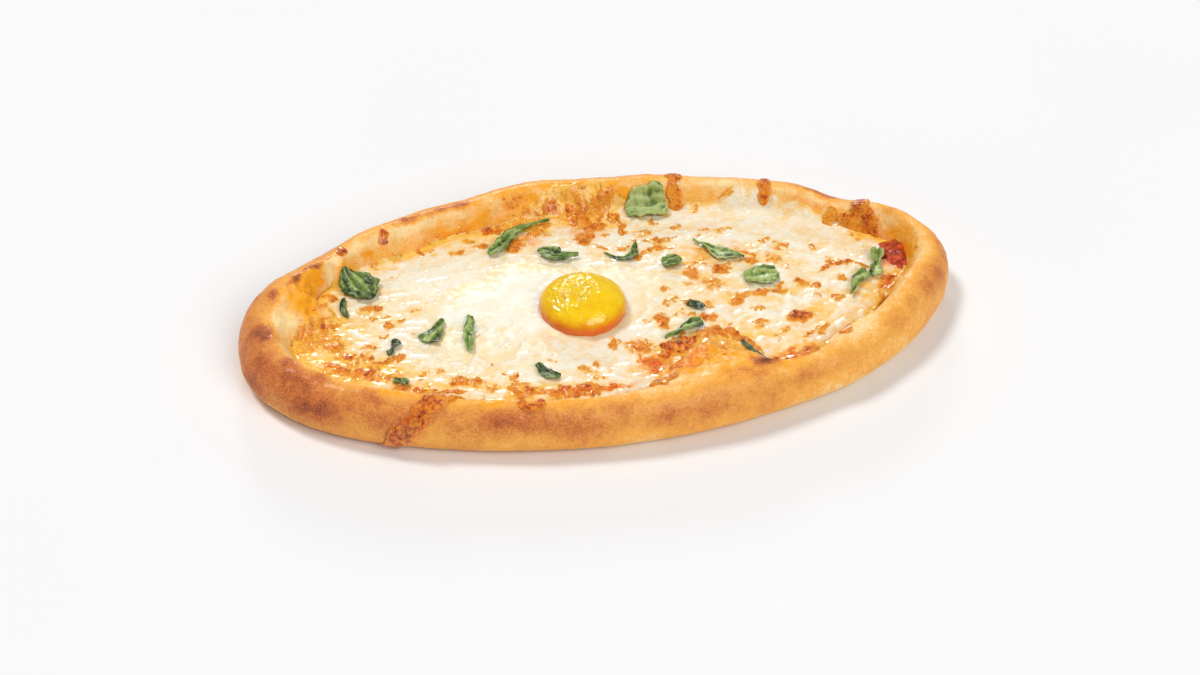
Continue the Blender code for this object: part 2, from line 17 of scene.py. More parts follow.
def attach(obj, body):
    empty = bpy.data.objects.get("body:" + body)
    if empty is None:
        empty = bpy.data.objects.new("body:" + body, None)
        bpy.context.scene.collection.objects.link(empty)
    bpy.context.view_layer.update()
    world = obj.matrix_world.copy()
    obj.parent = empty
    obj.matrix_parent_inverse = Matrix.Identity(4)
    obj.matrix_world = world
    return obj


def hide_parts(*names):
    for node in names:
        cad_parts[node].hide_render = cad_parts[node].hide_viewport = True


bl_info = {
    "name": "Peinirli",
    "version": (1, 0, 0),
    "blender": (4, 5, 0),
    "location": "View3D > Sidebar > Peinirli",
    "description": "Makes the crust, cheese, egg, sauce and leaves of a baked peinirli",
    "category": "Add Mesh",
}

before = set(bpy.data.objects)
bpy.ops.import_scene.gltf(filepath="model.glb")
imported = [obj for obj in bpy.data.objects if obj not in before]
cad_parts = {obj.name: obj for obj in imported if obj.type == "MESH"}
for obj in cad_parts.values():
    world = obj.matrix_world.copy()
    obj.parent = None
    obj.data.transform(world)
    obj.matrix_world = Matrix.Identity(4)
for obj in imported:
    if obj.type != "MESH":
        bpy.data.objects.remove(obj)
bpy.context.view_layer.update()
MM = 0.001

# The dough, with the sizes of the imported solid
HALF_LENGTH = 162 * MM
HALF_WIDTH = 87 * MM
OUTLINE_POWER = 1.9
OUTLINE_CENTRE = (-1.0 * MM, -1.35 * MM)
SPINE_SHARE = 0.55
CREST_HEIGHT = 25 * MM
BULGE_SHARE = 0.42
FOOT_INSET = 9 * MM
OUTER_WIDTH = 12.5 * MM
INNER_WIDTH = 14 * MM
FLOOR_THICKNESS = 8 * MM
HAND_MARKS = 0.6 * MM
FULL_FOLD = 12 * MM

# The filling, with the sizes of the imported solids
CHEESE_LEVEL = 14.2 * MM
CHEESE_MOUND = (90 * MM, 45 * MM)
CHEESE_COAT = 2.2 * MM
CHEESE_SWELL = 0.9 * MM
CHEESE_LUMPS = 0.7 * MM
FEATHER = 3 * MM
BORDER = 20 * MM
YOLK_CENTRE = (-10 * MM, -7.3 * MM)
YOLK_RADIUS = 19.5 * MM
YOLK_HEIGHT = 13 * MM
YOLK_WAIST = 3 * MM
WHITE_CENTRE = (-33 * MM, -1.3 * MM)
WHITE_HALF_SIZE = (53 * MM, 34 * MM)
SAUCE_CENTRE = (139 * MM, 6.7 * MM, 11.5 * MM)
SAUCE_HALF_SIZE = (8 * MM, 10.5 * MM, 5 * MM)

# Heights at which the finer pieces end below, and how deep a run of cheese reaches into the crust
CHEESE_BOTTOM = 5 * MM
WHITE_BOTTOM = 11 * MM
RUN_SUNK = 1.2 * MM

# The grid over the filling, seen from above
PLAN_STEP = 0.575 * MM
PLAN_X = (-143 * MM, 146 * MM)
PLAN_Y = (-78 * MM, 80 * MM)

# The grid of the crust: columns round the boat, then rows up to the bulge, to the crest and to the floor
CRUST_COLUMNS = 930
CRUST_ROWS = (16, 31, 51)

# Points of the other pieces: along and across them, or round and up them
RUN_STEPS = (76, 27)
YOLK_STEPS = (220, 110)
SAUCE_STEPS = (96, 48)
LEAF_STEPS = (56, 25)

# The photograph's camera: its place, then its heading, how far it looks down and its roll in degrees
CAMERA_PLACE = (-0.1766, -0.82845, 0.6750)
CAMERA_TURN = (12, 38.88, 0.32)

# Angle round the boat and spread in degrees, then the amount
OUTLINE_LOBES = (
    (8, 11, 2.4 * MM),
    (52, 12, 1.0 * MM),
    (97, 8, 3.2 * MM),
    (145, 12, -2.5 * MM),
    (180, 12, -1.2 * MM),
    (212, 24, 4.2 * MM),
    (309, 5, 1.0 * MM),
    (338, 15, -2.4 * MM),
)
CREST_LOBES = (
    (24, 7, 1.6 * MM),
    (38, 6, -2.6 * MM),
    (92, 26, 1.5 * MM),
    (139, 5, -1.6 * MM),
    (158, 10, 1.8 * MM),
    (205, 20, 0.8 * MM),
    (258, 24, -2.2 * MM),
    (289, 11, 1.0 * MM),
    (302, 7, -3.4 * MM),
    (350, 24, -1.2 * MM),
)
CREST_SHIFTS = (
    (18, 10, -3.5 * MM),
    (186, 18, 2.2 * MM),
    (262, 34, -1.8 * MM),
    (303, 7, -2.2 * MM),
    (340, 12, 1.2 * MM),
)
FOLDS = (
    (288, 12, 6.5, 27 * MM),
    (166, 10, 12, 19 * MM),
)
PLEATS = (
    (16, 8, -4.0 * MM),
    (41, 4, 3.0 * MM),
    (99, 6, 3.0 * MM),
    (122, 3, 3.0 * MM),
    (132, 3, 2.5 * MM),
    (141, 2.6, 4.0 * MM),
    (303, 5, -4.0 * MM),
)
BORDER_LOBES = (
    (10, 10, 9 * MM),
    (50, 14, -5 * MM),
    (87, 8, -6 * MM),
    (104, 7, 1 * MM),
    (123, 7, 4 * MM),
    (166, 13, 22 * MM),
    (193, 10, 4 * MM),
    (216, 12, 3 * MM),
    (287, 10, 26 * MM),
    (303, 6, -4 * MM),
    (335, 12, 4 * MM),
)

# Browning and stains on the crust: angle, place, half size along the rim and across it in mm, strength
SCORCHES = (
    (165.5, 2.02, 5, 4, 0.46),
    (155, 2.06, 7, 2.4, 0.55),
    (147.5, 2.0, 7, 2.6, 0.6),
    (143.5, 2.04, 4, 2.2, 0.5),
    (122, 2.0, 9, 2.6, 0.5),
    (116, 1.96, 8, 3, 0.5),
    (111, 1.96, 9, 2.8, 0.5),
    (188, 1.98, 6, 5, 0.4),
    (183.5, 1.86, 6, 5, 0.34),
    (203, 1.9, 5, 4, 0.3),
    (212.5, 2.02, 6, 3.6, 0.32),
    (208, 1.7, 12, 5, 0.16),
    (199, 1.6, 9, 6, 0.1),
    (196.5, 1.06, 7, 4, 0.18),
    (215, 1.18, 10, 4, 0.2),
    (224.5, 1.86, 5, 3.4, 0.24),
    (232, 1.1, 8, 3, 0.14),
    (248, 1.5, 12, 5, 0.08),
    (266, 1.75, 12, 4, 0.12),
    (329.5, 1.66, 5, 4, 0.16),
    (322.5, 1.54, 7, 5, 0.1),
    (330, 1.0, 14, 5, 0.1),
    (314.5, 0.9, 12, 4, 0.14),
    (274, 1.3, 16, 6, 0.12),
    (284, 1.2, 14, 6, 0.12),
    (289, 1.98, 8, 4.5, 0.4),
    # Partly browning, partly painted shade on the fold's right slope
    (293.5, 2.12, 8, 6, 0.8),
    (300, 2.36, 7, 5, 0.62),
    (290, 1.8, 12, 4, 0.2),
    (286, 2.5, 7, 5, 0.36),
    (342, 1.6, 16, 8, 0.12),
    (282.5, 2.34, 4, 3.4, 0.74),
    (299, 1.5, 9, 4, 0.14),
    (40.5, 1.8, 10, 2.5, 0.3),
    (21, 2.0, 6, 2, 0.2),
    (345, 1.38, 10, 5, 0.1),
)
PALE_PLACES = (
    (358, 1.95, 18, 5, 0.12),
    (270, 0.9, 14, 4, 0.06),
    (252, 1.0, 16, 4, 0.12),
    (236, 1.0, 12, 4, 0.1),
    (123.5, 2.25, 5, 3, 0.3),
    (111, 2.32, 7, 3, 0.2),
    (40.5, 2.3, 11, 6, 0.25),
    (176, 2.2, 6, 5, 0.2),
    (296, 1.6, 6, 3, 0.2),
    (55, 2.5, 10, 7, 0.45),
    (48, 2.45, 10, 7, 0.45),
    # Partly painted light: a broad pale patch on the right front, where light falls from the right
    (326, 1.5, 34, 12, 0.1),
    (176, 2.42, 8, 7, 0.4),
    (183, 2.6, 7, 6, 0.3),
    (190, 2.5, 8, 5, 0.25),
)
OILY_PLACES = (
    (123.5, 2.42, 7, 5, 0.6),
    (115.5, 2.42, 8, 6, 0.75),
    (108, 2.42, 10, 8, 0.85),
    (99, 2.34, 12, 9, 1.0),
    (91, 2.26, 12, 9, 1.0),
    (83, 2.3, 12, 8, 0.95),
    (74, 2.35, 12, 7, 0.7),
    (66, 2.3, 8, 5, 0.5),
    (134, 2.34, 5, 4, 0.85),
    (163, 2.42, 12, 10, 1.0),
    (154.5, 2.42, 9, 9, 1.0),
    (149, 2.3, 6, 8, 0.9),
    (147, 2.1, 5, 4, 0.6),
    (157, 2.3, 7, 7, 0.9),
    (170, 2.6, 9, 8, 0.7),
    (228, 2.12, 12, 4, 0.8),
    (237, 2.1, 12, 4, 0.85),
    (246, 2.1, 12, 4, 0.8),
    (256, 2.14, 14, 4, 0.7),
    (189, 2.5, 10, 6, 0.35),
    (203, 2.6, 12, 4, 0.4),
    (222, 2.6, 16, 4, 0.5),
    (289, 2.46, 20, 17, 1.0),
    (281, 2.3, 9, 8, 0.95),
    (279, 2.8, 10, 9, 1.0),
    (297, 2.3, 9, 8, 0.95),
    (268, 2.3, 16, 4.5, 0.6),
    (15, 2.5, 8, 6, 0.7),
    (5, 2.4, 10, 7, 0.9),
    (12, 2.3, 8, 5, 0.7),
    (355, 2.6, 10, 6, 0.85),
    (340, 2.5, 14, 4.5, 0.6),
    (318, 2.4, 14, 4, 0.5),
)
RED_PLACES = (
    (281, 2.6, 9, 9, 1.0),
    (286, 2.7, 8, 6, 0.6),
    (277, 2.85, 10, 4, 0.85),
    (291, 2.8, 9, 4, 0.5),
    (302, 2.7, 8, 4, 0.8),
    (134, 2.36, 3, 3, 0.6),
    (141, 2.6, 3, 5, 0.7),
    (158, 2.7, 8, 4, 0.5),
    (168, 2.85, 8, 4, 0.5),
    (353, 2.85, 9, 4, 0.8),
    (3, 2.8, 8, 4, 0.7),
    (9, 2.6, 7, 5, 0.75),
    (94, 2.5, 7, 4, 0.6),
    (85, 2.4, 5, 5, 0.5),
    (228, 2.7, 14, 2.4, 0.5),
    (258, 2.6, 16, 2.4, 0.5),
)
# Where the skin swells out: angle, place, half sizes in mm, and how far in mm
SWELLS = (
    (151, 2.62, 7, 9, 2.6),
    (158, 2.3, 6, 5, 1.3),
    (166, 2.55, 6, 6, 1.3),
    (173, 2.3, 5, 5, 0.9),
    (288, 2.5, 9, 6, 1.0),
    (282.5, 2.38, 6, 4, 1.0),
    (288.5, 1.96, 9, 4, 0.7),
    (276.5, 2.38, 6, 3, 0.8),
    (296, 2.4, 7, 5, 0.9),
    (92, 2.4, 7, 5, 1.2),
    (85, 2.2, 5, 4, 1.0),
    (99, 2.3, 6, 4, 1.0),
)

# Browned blisters of cheese: x, y and half sizes in mm, then how dark
BLISTERS = (
    (-96, 0, 2.4, 2.8, 0.6),
    (-90, 3, 2.4, 1.4, 0.5),
    (-97, 6, 2.0, 1.2, 0.4),
    (-134, 1, 3.0, 2.0, 0.5),
    (-83, 8, 2.4, 1.6, 0.5),
    (-106, -14, 3.0, 2.0, 0.4),
    (-59, 8, 2.2, 3.2, 0.85),
    (-102, 14, 4.5, 1.6, 0.5),
    (-58, 46, 3.5, 2.2, 0.55),
    (-51, 54, 3.0, 2.0, 0.45),
    (-46, 49, 4.0, 1.8, 0.4),
    (-121, -11, 4.0, 3.6, 0.5),
    (-131, -7, 2.6, 3.8, 0.45),
    (-117, -18, 3.6, 2.8, 0.62),
    (-97, -44, 4.5, 3.0, 0.5),
    (-86, -8, 1.8, 1.4, 0.35),
    (-71, -45, 4.0, 3.0, 0.52),
    (-64, -46, 3.0, 2.4, 0.45),
    (-59, -51, 3.0, 2.6, 0.42),
    (-47, -54, 4.2, 5.0, 0.55),
    (-29, -59, 3.6, 2.6, 0.65),
    (-20, -59, 5.0, 3.0, 0.65),
    (-9, -61, 4.0, 2.2, 0.55),
    (9, -37, 5.0, 4.4, 0.5),
    (23, -21, 2.8, 4.4, 0.62),
    (44, -23, 4.2, 2.6, 0.55),
    (29, 1, 2.2, 2.6, 0.5),
    (28, -9, 1.4, 1.6, 0.4),
    (58, 11, 4.0, 3.0, 0.55),
    (72, 14, 3.4, 2.4, 0.45),
    (44, 10, 2.4, 4.0, 0.4),
    (52, 1, 3.8, 5.0, 0.32),
    (63, -10, 3.0, 2.2, 0.5),
    (59, -14, 2.8, 2.0, 0.5),
    (71, -10, 4.4, 1.4, 0.5),
    (80, -11, 3.6, 1.5, 0.5),
    (91, -6, 3.2, 2.0, 0.45),
    (97, -9, 2.8, 2.6, 0.5),
    (110, -6, 2.8, 2.0, 0.42),
    (103, 18, 1.8, 1.4, 0.4),
    (83, 14, 3.4, 3.6, 0.32),
    (30, 44, 5.0, 2.6, 0.35),
    (36, 38, 4.4, 1.4, 0.45),
    (33, 31, 5.0, 1.3, 0.45),
    (104, -19, 3.4, 2.4, 0.45),
    (84, -30, 4.8, 3.8, 0.72),
    (65, -31, 3.4, 2.4, 0.35),
    (67, -21, 3.2, 1.8, 0.35),
    (91, -39, 3.0, 2.0, 0.3),
    (71, 59, 3.2, 2.6, 0.4),
    (58, 64, 3.0, 2.4, 0.4),
    (2, 62, 5.0, 7.0, 0.5),
    (8, 54, 4.4, 4.0, 0.5),
    (1, 45, 3.2, 4.2, 0.6),
    (14, 66, 5.0, 3.0, 0.4),
    (22, 69, 5.0, 2.0, 0.36),
    (-9, 68, 4.0, 2.4, 0.5),
    (-19, 54, 4.4, 3.4, 0.5),
    (-31, 47, 3.6, 4.6, 0.52),
    (-33, 66, 4.0, 2.0, 0.4),
    (18, 58, 3.0, 3.0, 0.45),
)
# Browned edges and strands on the cheese: width and height in mm, how dark, and the path in mm
CRISP_LINES = (
    (6.0, 1.3, 0.64, ((19, -44), (25, -40), (30, -38), (34, -36))),
    (4.6, 1.0, 0.48, ((33, -36), (40, -33), (47, -33), (54, -37))),
    (2.8, 0.7, 0.42, ((54, -38), (58, -45), (60, -51))),
    (3.4, 0.8, 0.5, ((-128, -20), (-120, -27), (-110, -31), (-101, -37))),
    (2.6, 0.6, 0.42, ((-104, -25), (-98, -24), (-91, -22))),
    (2.6, 0.7, 0.4, ((-98, -43), (-90, -47), (-80, -50), (-70, -52))),
    (3.4, 0.9, 0.44, ((-98, -50), (-92, -58), (-79, -61), (-66, -64), (-56, -64), (-49, -63))),
    (3.4, 0.8, 0.46, ((-46, -56), (-38, -58), (-28, -60), (-18, -61), (-6, -62))),
    (1.8, 0.7, 0.5, ((100, 0), (107, 4), (113, 5), (119, 3), (124, -2))),
    (1.8, 0.8, 0.5, ((-80, 55), (-76, 53), (-73, 47))),
    (3.2, 0.8, 0.42, ((-2, 68), (2, 60), (5, 52), (4, 45))),
    (2.4, 0.7, 0.42, ((16, 62), (20, 54), (20, 45))),
    (1.6, 0.5, 0.36, ((48, 28), (58, 24), (68, 22), (76, 18))),
    (1.4, 0.5, 0.36, ((28, 38), (34, 33), (40, 30))),
)
# Where the egg ran smooth and white over the cheese: x, y and half sizes in mm, turn in degrees, strength
CALM_FIELDS = (
    (-60, 24, 36, 16, -6, 1.0),
    (-72, -6, 22, 22, 0, 0.3),
    (-30, -36, 34, 12, 8, 0.8),
    (24, 8, 14, 16, 0, 0.7),
)
# Where strands show through the egg all the same, in the same way
LIVELY_FIELDS = (
    (-62, -20, 34, 18, 0, 1.0),
    (-24, -38, 26, 9, 0, 0.9),
    (-98, 4, 16, 24, 0, 1.0),
)
# Where the cheese creeps further up the dough: x, y and half sizes in mm, turn in degrees, and how far in mm
CREEP_FIELDS = (
    (-100, -48, 20, 10, -24, 6.0),
    (-66, -60, 30, 10, -6, 6.0),
    (-24, -64, 30, 9, 0, 4.0),
    (-122, 12, 18, 22, 10, 5.0),
    (-126, 24, 10, 12, 0, 3.0),
    (4, 66, 16, 12, 0, 5.0),
    (76, 52, 10, 10, 0, 4.0),
)
# Where the cheese is thin, oily or reddened: x, y and half sizes in mm, turn in degrees, strength
GOLDEN_FIELDS = (
    (-112, -30, 26, 10, -24, 0.9),
    (-128, -2, 16, 22, 10, 1.0),
    (-95, -34, 30, 12, -20, 0.45),
    (-100, 14, 14, 5, 10, 0.3),
    (-82, -46, 24, 6, -10, 0.7),
    (-38, -59, 28, 6, -4, 0.75),
    (2, 64, 20, 12, 0, 1.0),
    (-22, 64, 26, 9, 4, 1.0),
    (-24, 53, 16, 7, 10, 0.6),
    (-58, 50, 18, 7, 24, 0.5),
    (-84, 44, 16, 6, 24, 0.4),
    (32, 36, 12, 8, 0, 0.3),
    (70, 20, 24, 9, -6, 0.42),
    (72, -9, 22, 6, -8, 0.4),
    (15, -48, 11, 7, 30, 0.9),
    (36, -42, 28, 10, 0, 1.0),
    (98, -30, 26, 9, 20, 0.5),
    (118, -18, 14, 10, 30, 0.6),
    (130, -14, 8, 7, 40, 1.0),
    (78, -54, 16, 4, 14, 1.0),
    (126, 22, 8, 10, 0, 0.5),
    (50, 6, 14, 7, -30, 0.35),
    (90, 47, 28, 4, -14, 0.2),
    (40, 67, 26, 5, 0, 0.5),
    (-66, -62, 34, 5, -6, 0.9),
    (-98, -50, 20, 5, -24, 0.8),
)
RED_FIELDS = (
    (68, 22, 13, 4.5, -8, 0.55),
    (52, 22, 9, 4, -20, 0.3),
    (72, -56, 14, 4, 14, 0.9),
    (-8, -62, 16, 2.8, 2, 0.75),
    (129, -15, 6, 5, 40, 0.95),
    (137, 0, 5, 7, 0, 0.8),
    (-26, 50, 8, 6, 20, 0.75),
    (0, 52, 8, 10, 0, 0.35),
    (-98, -37, 12, 3, -24, 0.35),
    (15, -50, 10, 7, 30, 0.85),
    (48, 5, 9, 4, -30, 0.35),
    (-112, 4, 6, 3, 0, 0.3),
)
# Where it stays thick and milky, in the same way
MILKY_FIELDS = (
    (0, -34, 10, 7, 0, 0.9),
    (8, 43, 14, 7, 0, 0.7),
    (108, 7, 10, 7, 0, 0.8),
    (45, 39, 12, 6, 0, 0.6),
    (84, 50, 17, 8, -20, 0.75),
    (60, 50, 16, 9, 0, 0.6),
    (12, 40, 13, 5, 0, 0.8),
    (2, -33, 10, 4, 0, 0.7),
    (109, 9, 11, 7, 0, 0.8),
    (82, -34, 10, 5, 0, 0.4),
    (118, 30, 10, 8, -30, 0.6),
    (-100, 44, 14, 6, 24, 0.4),
)

# Cheese that ran over the rim: width, thickness and how dark, then its path as angles and places
RUNS = (
    (
        8.2 * MM,
        2.3 * MM,
        0.68,
        ((240, 2.8), (238.5, 2.4), (236.5, 1.9), (233.8, 1.4), (230.4, 0.8), (228.4, 0.5)),
    ),
    (13 * MM, 3.6 * MM, 0.5, ((22.5, 2.9), (26, 2.5), (29, 2.12))),
    (7.5 * MM, 4.4 * MM, 0.64, ((28.6, 2.3), (29.4, 2.06), (30.4, 1.84))),
    (8 * MM, 3.8 * MM, 0.64, ((21.5, 2.8), (24, 2.52), (25.5, 2.3))),
    (5 * MM, 1.6 * MM, 0.42, ((35, 2.75), (35.2, 2.45), (35, 2.2))),
    (5 * MM, 2.0 * MM, 0.4, ((29.5, 2.9), (31, 2.6), (31, 2.3))),
    (6.6 * MM, 1.3 * MM, 0.54, ((68.8, 2.6), (69.5, 2.25), (69.8, 1.8))),
    (4.8 * MM, 1.1 * MM, 0.54, ((51.2, 2.44), (52, 2.15), (52.5, 1.8))),
    (3.2 * MM, 1.3 * MM, 0.62, ((234.5, 1.45), (233, 1.15), (232.2, 0.85))),
    (5.5 * MM, 7.0 * MM, 0.72, ((28.7, 2.26), (29.5, 2.06), (30.2, 1.92))),
)
# Browned bits of cheese that lie apart on the rim: width, thickness, how dark, and the path
CRUMBS = (
    (4.0 * MM, 2.4 * MM, 0.72, ((250.4, 1.97), (250.9, 1.84), (252.3, 1.8), (253.4, 1.9), (253.9, 2.02))),
    (8 * MM, 2.4 * MM, 0.6, ((273.2, 2.34), (275.6, 2.26), (278, 2.34))),
    (3.6 * MM, 2.0 * MM, 0.56, ((310.6, 2.17), (311.6, 2.06), (312.6, 2.12), (313.4, 2.04))),
    (4.2 * MM, 1.8 * MM, 0.66, ((127.6, 2.06), (128.3, 2.18), (129.2, 2.32))),
    (4.2 * MM, 1.8 * MM, 0.72, ((137.4, 2.0), (138.6, 2.02), (139.6, 2.06))),
)

# Torn leaves: node, path in mm, width, height of its folds, ridges across it, form and how light it is
LEAVES = (
    ("leaf_left_large", ((-111, 36), (-106, 29), (-101, 19)), 15, 1.3, 3, "round", 0.4),
    ("leaf_left_stem", ((-113, 22), (-114, 14), (-113, 8)), 3.4, 0.5, 1, "strip", 0.2),
    ("leaf_back_long", ((-44, 40), (-37, 47), (-28, 57), (-12, 62)), 6.5, 0.7, 2, "taper", 0.6),
    ("leaf_back_small", ((-21, 40), (-13, 33), (-4, 32)), 7.5, 0.8, 3, "taper", 0.4),
    ("leaf_back_curl", ((8, 32), (13, 26.5), (20, 27), (24, 38)), 3.4, 0.5, 1, "tadpole", 0.3),
    ("leaf_back_large", ((24.5, 60.5), (34, 60.5), (43.5, 61.5)), 12.5, 1.5, 4, "fan", 1.0),
    ("leaf_right_small", ((32, 17), (41, 20)), 9, 0.8, 3, "round", 0.5),
    ("leaf_right_stem", ((50, 33), (55, 27), (60, 21), (70, 16)), 7, 0.7, 2, "tadpole", 0.6),
    ("leaf_right_round", ((66, -1), (74, 1), (82, 3)), 13, 0.7, 2, "round", 0.85),
    ("leaf_tip_lower", ((110, -21), (115, -12), (122, -6)), 8, 0.9, 1, "wedge", 0.7),
    ("leaf_tip_upper", ((124, -10), (128, -1), (131, 10)), 9, 1.0, 1, "torn", 0.75),
    ("leaf_fold_flat", ((21, -36), (31, -30), (40, -26)), 8, 0.7, 1, "wedge", 0.55),
    ("leaf_fold_dark", ((37, -11), (43, -17)), 4.5, 0.5, 1, "strip", 0.0),
    ("leaf_fold_strip", ((54, -42), (57, -51), (62, -59), (69, -64)), 3.0, 0.4, 1, "strip", 0.1),
    ("leaf_front_small", ((-37, -41), (-34, -47), (-29, -51)), 5.0, 0.7, 2, "strip", 0.3),
    ("leaf_mid_torn", ((-72, -3), (-76, -10), (-81, -17)), 12, 0.5, 1, "wedge", 0.65),
    ("leaf_mid_strip", ((-60, -3), (-62, -14), (-64, -27)), 4.6, 0.8, 1, "strip", 0.55),
    ("leaf_mid_dark", ((-99, -21), (-93, -13)), 5.4, 0.6, 1, "torn", 0.1),
    ("leaf_edge_bit", ((-99, -39), (-93, -42)), 4.4, 0.5, 1, "strip", 0.3),
)


def linear(*rgb):
    """A colour given as red, green and blue from 0 to 255, as Blender's shaders want it."""
    return tuple((v / 255 / 12.92) if v < 11 else ((v / 255 + 0.055) / 1.055) ** 2.4 for v in rgb)


def colour(name, description, *rgb):
    """A colour property with its default."""
    return FloatVectorProperty(
        name=name, description=description, subtype="COLOR", size=3, min=0, max=1, default=linear(*rgb)
    )


def length(name, description, default):
    """A length property with its default."""
    return FloatProperty(
        name=name, description=description, unit="LENGTH", min=0, default=default, precision=5
    )


def amount(name, description, default):
    """A strength, share or density property with its default."""
    return FloatProperty(name=name, description=description, default=default, min=0)


def number_of(name, description, default):
    """A count property with its default."""
    return IntProperty(name=name, description=description, default=default, min=0)


class CrustSettings(bpy.types.PropertyGroup):
    """Sizes and colours of the baked dough"""

    waves: length("Waves", "Height of the slow unevenness left by the hand", 0.5 * MM)
    grain: length("Grain", "Height of the fine unevenness of the skin", 0.06 * MM)
    lumps: length("Lumps", "Height of the lumps where the dough folds over the filling", 1.5 * MM)
    bubbles: number_of("Bubbles", "Small bubbles baked into the skin", 120)
    toast: FloatProperty(name="Toast", description="How browned it is all over", default=0.33, min=0, max=1)
    cream: colour("Cream", "Dough that is hardly baked", 255, 229, 170)
    golden: colour("Golden", "Lightly baked dough", 252, 181, 82)
    brown: colour("Brown", "Well baked dough", 204, 112, 60)
    burnt: colour("Burnt", "Scorched marks", 92, 50, 40)
    oil: colour("Oil stain", "Where oil and cheese soaked in", 255, 172, 30)


class CheeseSettings(bpy.types.PropertyGroup):
    """Sizes and colours of the melted cheese"""

    flows: number_of("Flows", "Soft ridges left by the shreds that melted", 900)
    width: length("Flow width", "Width of one soft ridge", 3.2 * MM)
    height: length("Flow height", "How far the soft ridges stand up", 0.9 * MM)
    blister: length("Blister height", "How far the browned blisters stand up", 1.0 * MM)
    freckles: number_of("Freckles", "Clusters of small golden spots", 300)
    bubbles: amount("Bubbles", "Fried bubbles for each square metre", 300000)
    bubble: length("Bubble size", "Width of a usual fried bubble", 1.9 * MM)
    melted: colour("Melted", "Thick cheese", 248, 239, 216)
    oily: colour("Oily", "Thin cheese with oil on it", 253, 194, 64)
    golden: colour("Golden", "Lightly browned cheese", 246, 150, 34)
    brown: colour("Brown", "Blistered cheese", 196, 86, 14)
    burnt: colour("Burnt", "The darkest blisters", 104, 36, 8)


class EggSettings(bpy.types.PropertyGroup):
    """Sizes and colours of the baked egg"""

    thickness: length("White thickness", "Thickness of the egg white over the cheese", 1.5 * MM)
    ripple: length("White ripple", "Height of the folds in the egg white", 0.3 * MM)
    wrinkle: length("Yolk wrinkle", "Height of the wrinkles in the skin of the yolk", 0.5 * MM)
    white: colour("White", "Set egg white", 248, 242, 224)
    clear: colour("Thin white", "Egg white that is thin and less set", 249, 225, 178)
    yolk: colour("Yolk", "Top of the yolk", 255, 212, 0)
    # The rim colour is partly the yolk's deeper orange at its foot and partly painted shade on its lower
    # sides
    rim: colour("Yolk rim", "Thicker look of the yolk at its foot", 228, 108, 0)


class LeafSettings(bpy.types.PropertyGroup):
    """Sizes and colours of the torn leaves"""

    thickness: length("Thickness", "Thickness of a leaf", 0.35 * MM)
    crumple: length("Crumple", "Height of the crumples from the oven", 0.7 * MM)
    fresh: colour("Green", "Face of the leaf", 108, 134, 50)
    # The light green is partly painted light on the ridges and the dark green partly painted shade in the
    # folds
    light: colour("Light green", "Ridges and the back of the leaf", 176, 190, 112)
    dark: colour("Dark green", "Folds and baked parts", 36, 54, 20)
    burnt: colour("Burnt", "Dried tips", 44, 28, 18)


class SauceSettings(bpy.types.PropertyGroup):
    """Colours of the tomato sauce and the herb specks"""

    red: colour("Red", "Tomato sauce", 226, 82, 14)
    deep: colour("Deep red", "Thick and browned sauce", 148, 36, 10)
    stain: colour("Stain", "Sauce soaked into dough and cheese", 238, 104, 22)
    herbs: amount("Herbs", "Dried herb specks for each square metre where there is most room", 4800)
    herb: colour("Herb", "Dried herbs", 66, 48, 20)


class StageSettings(bpy.types.PropertyGroup):
    """Floor, lights and camera"""

    floor: colour("Floor", "Plain floor", 240, 240, 240)
    key: amount("Key light", "Strength of the light from the back", 1.5)
    glint: amount("Glint light", "Strength of the low light behind it", 0.6)
    fill: amount("Fill light", "Strength of the light from the front", 1.6)
    sky: amount("Sky", "Strength of the even light all round", 0.28)
    lens: FloatProperty(name="Lens", description="Focal length in millimetres", default=72, min=10)


SETTINGS = {
    "peinirli_crust": CrustSettings,
    "peinirli_cheese": CheeseSettings,
    "peinirli_egg": EggSettings,
    "peinirli_leaf": LeafSettings,
    "peinirli_sauce": SauceSettings,
    "peinirli_stage": StageSettings,
}


# Uneven values and soft shapes, on arrays of points


def scattered(cells, seed):
    """A random value from 0 to 1 for each whole-numbered cell."""
    mixed = (cells * np.array([73856093, 19349663, 83492791])).sum(-1) + seed * 668265263
    mixed = (mixed ^ (mixed >> 13)) * 1274126177 & 0x7FFFFFFF
    mixed = (mixed ^ (mixed >> 16)) * 2246822519 & 0x7FFFFFFF
    return (mixed ^ (mixed >> 15)) / 0x7FFFFFFF


def rough(points, size, seed=0):
    """Smooth uneven values between -1 and 1, with bumps of about this size."""
    turned = points @ np.array(((0.80, 0.52, -0.30), (-0.60, 0.70, -0.39), (0.0, 0.49, 0.87)))
    scaled = turned / size
    cells = np.floor(scaled).astype(np.int64)
    part = scaled - cells
    part = part * part * (3 - 2 * part)
    total = np.zeros(points.shape[:-1])
    for corner in np.ndindex(2, 2, 2):
        weight = np.prod(np.where(np.array(corner) == 1, part, 1 - part), axis=-1)
        total += weight * scattered(cells + np.array(corner), seed)
    return 2 * total - 1


def layered(points, size, seed=0, layers=3):
    """Uneven values with finer unevenness on top of them."""
    total = sum(0.5**n * rough(points, size * 0.5**n, seed + n) for n in range(layers))
    return total / (2 - 0.5 ** (layers - 1))


def bubbled(points, size, seed=0):
    """Rounded bubbles that crowd together: 1 on top of each one and 0 between them."""
    scaled = points / size
    cells = np.floor(scaled).astype(np.int64)
    nearest = np.full(points.shape[:-1], np.inf)
    for offset in np.ndindex(3, 3, 3):
        cell = cells + np.array(offset) - 1
        middle = cell + np.stack([scattered(cell, seed + k) for k in range(3)], -1)
        nearest = np.minimum(nearest, ((scaled - middle) ** 2).sum(-1))
    return np.clip(1 - 1.3 * nearest, 0, 1)


def smoothstep(values, low, high):
    """0 up to the low value, 1 from the high value on, and a soft step between them."""
    share = np.clip((values - low) / (high - low), 0, 1)
    return share * share * (3 - 2 * share)


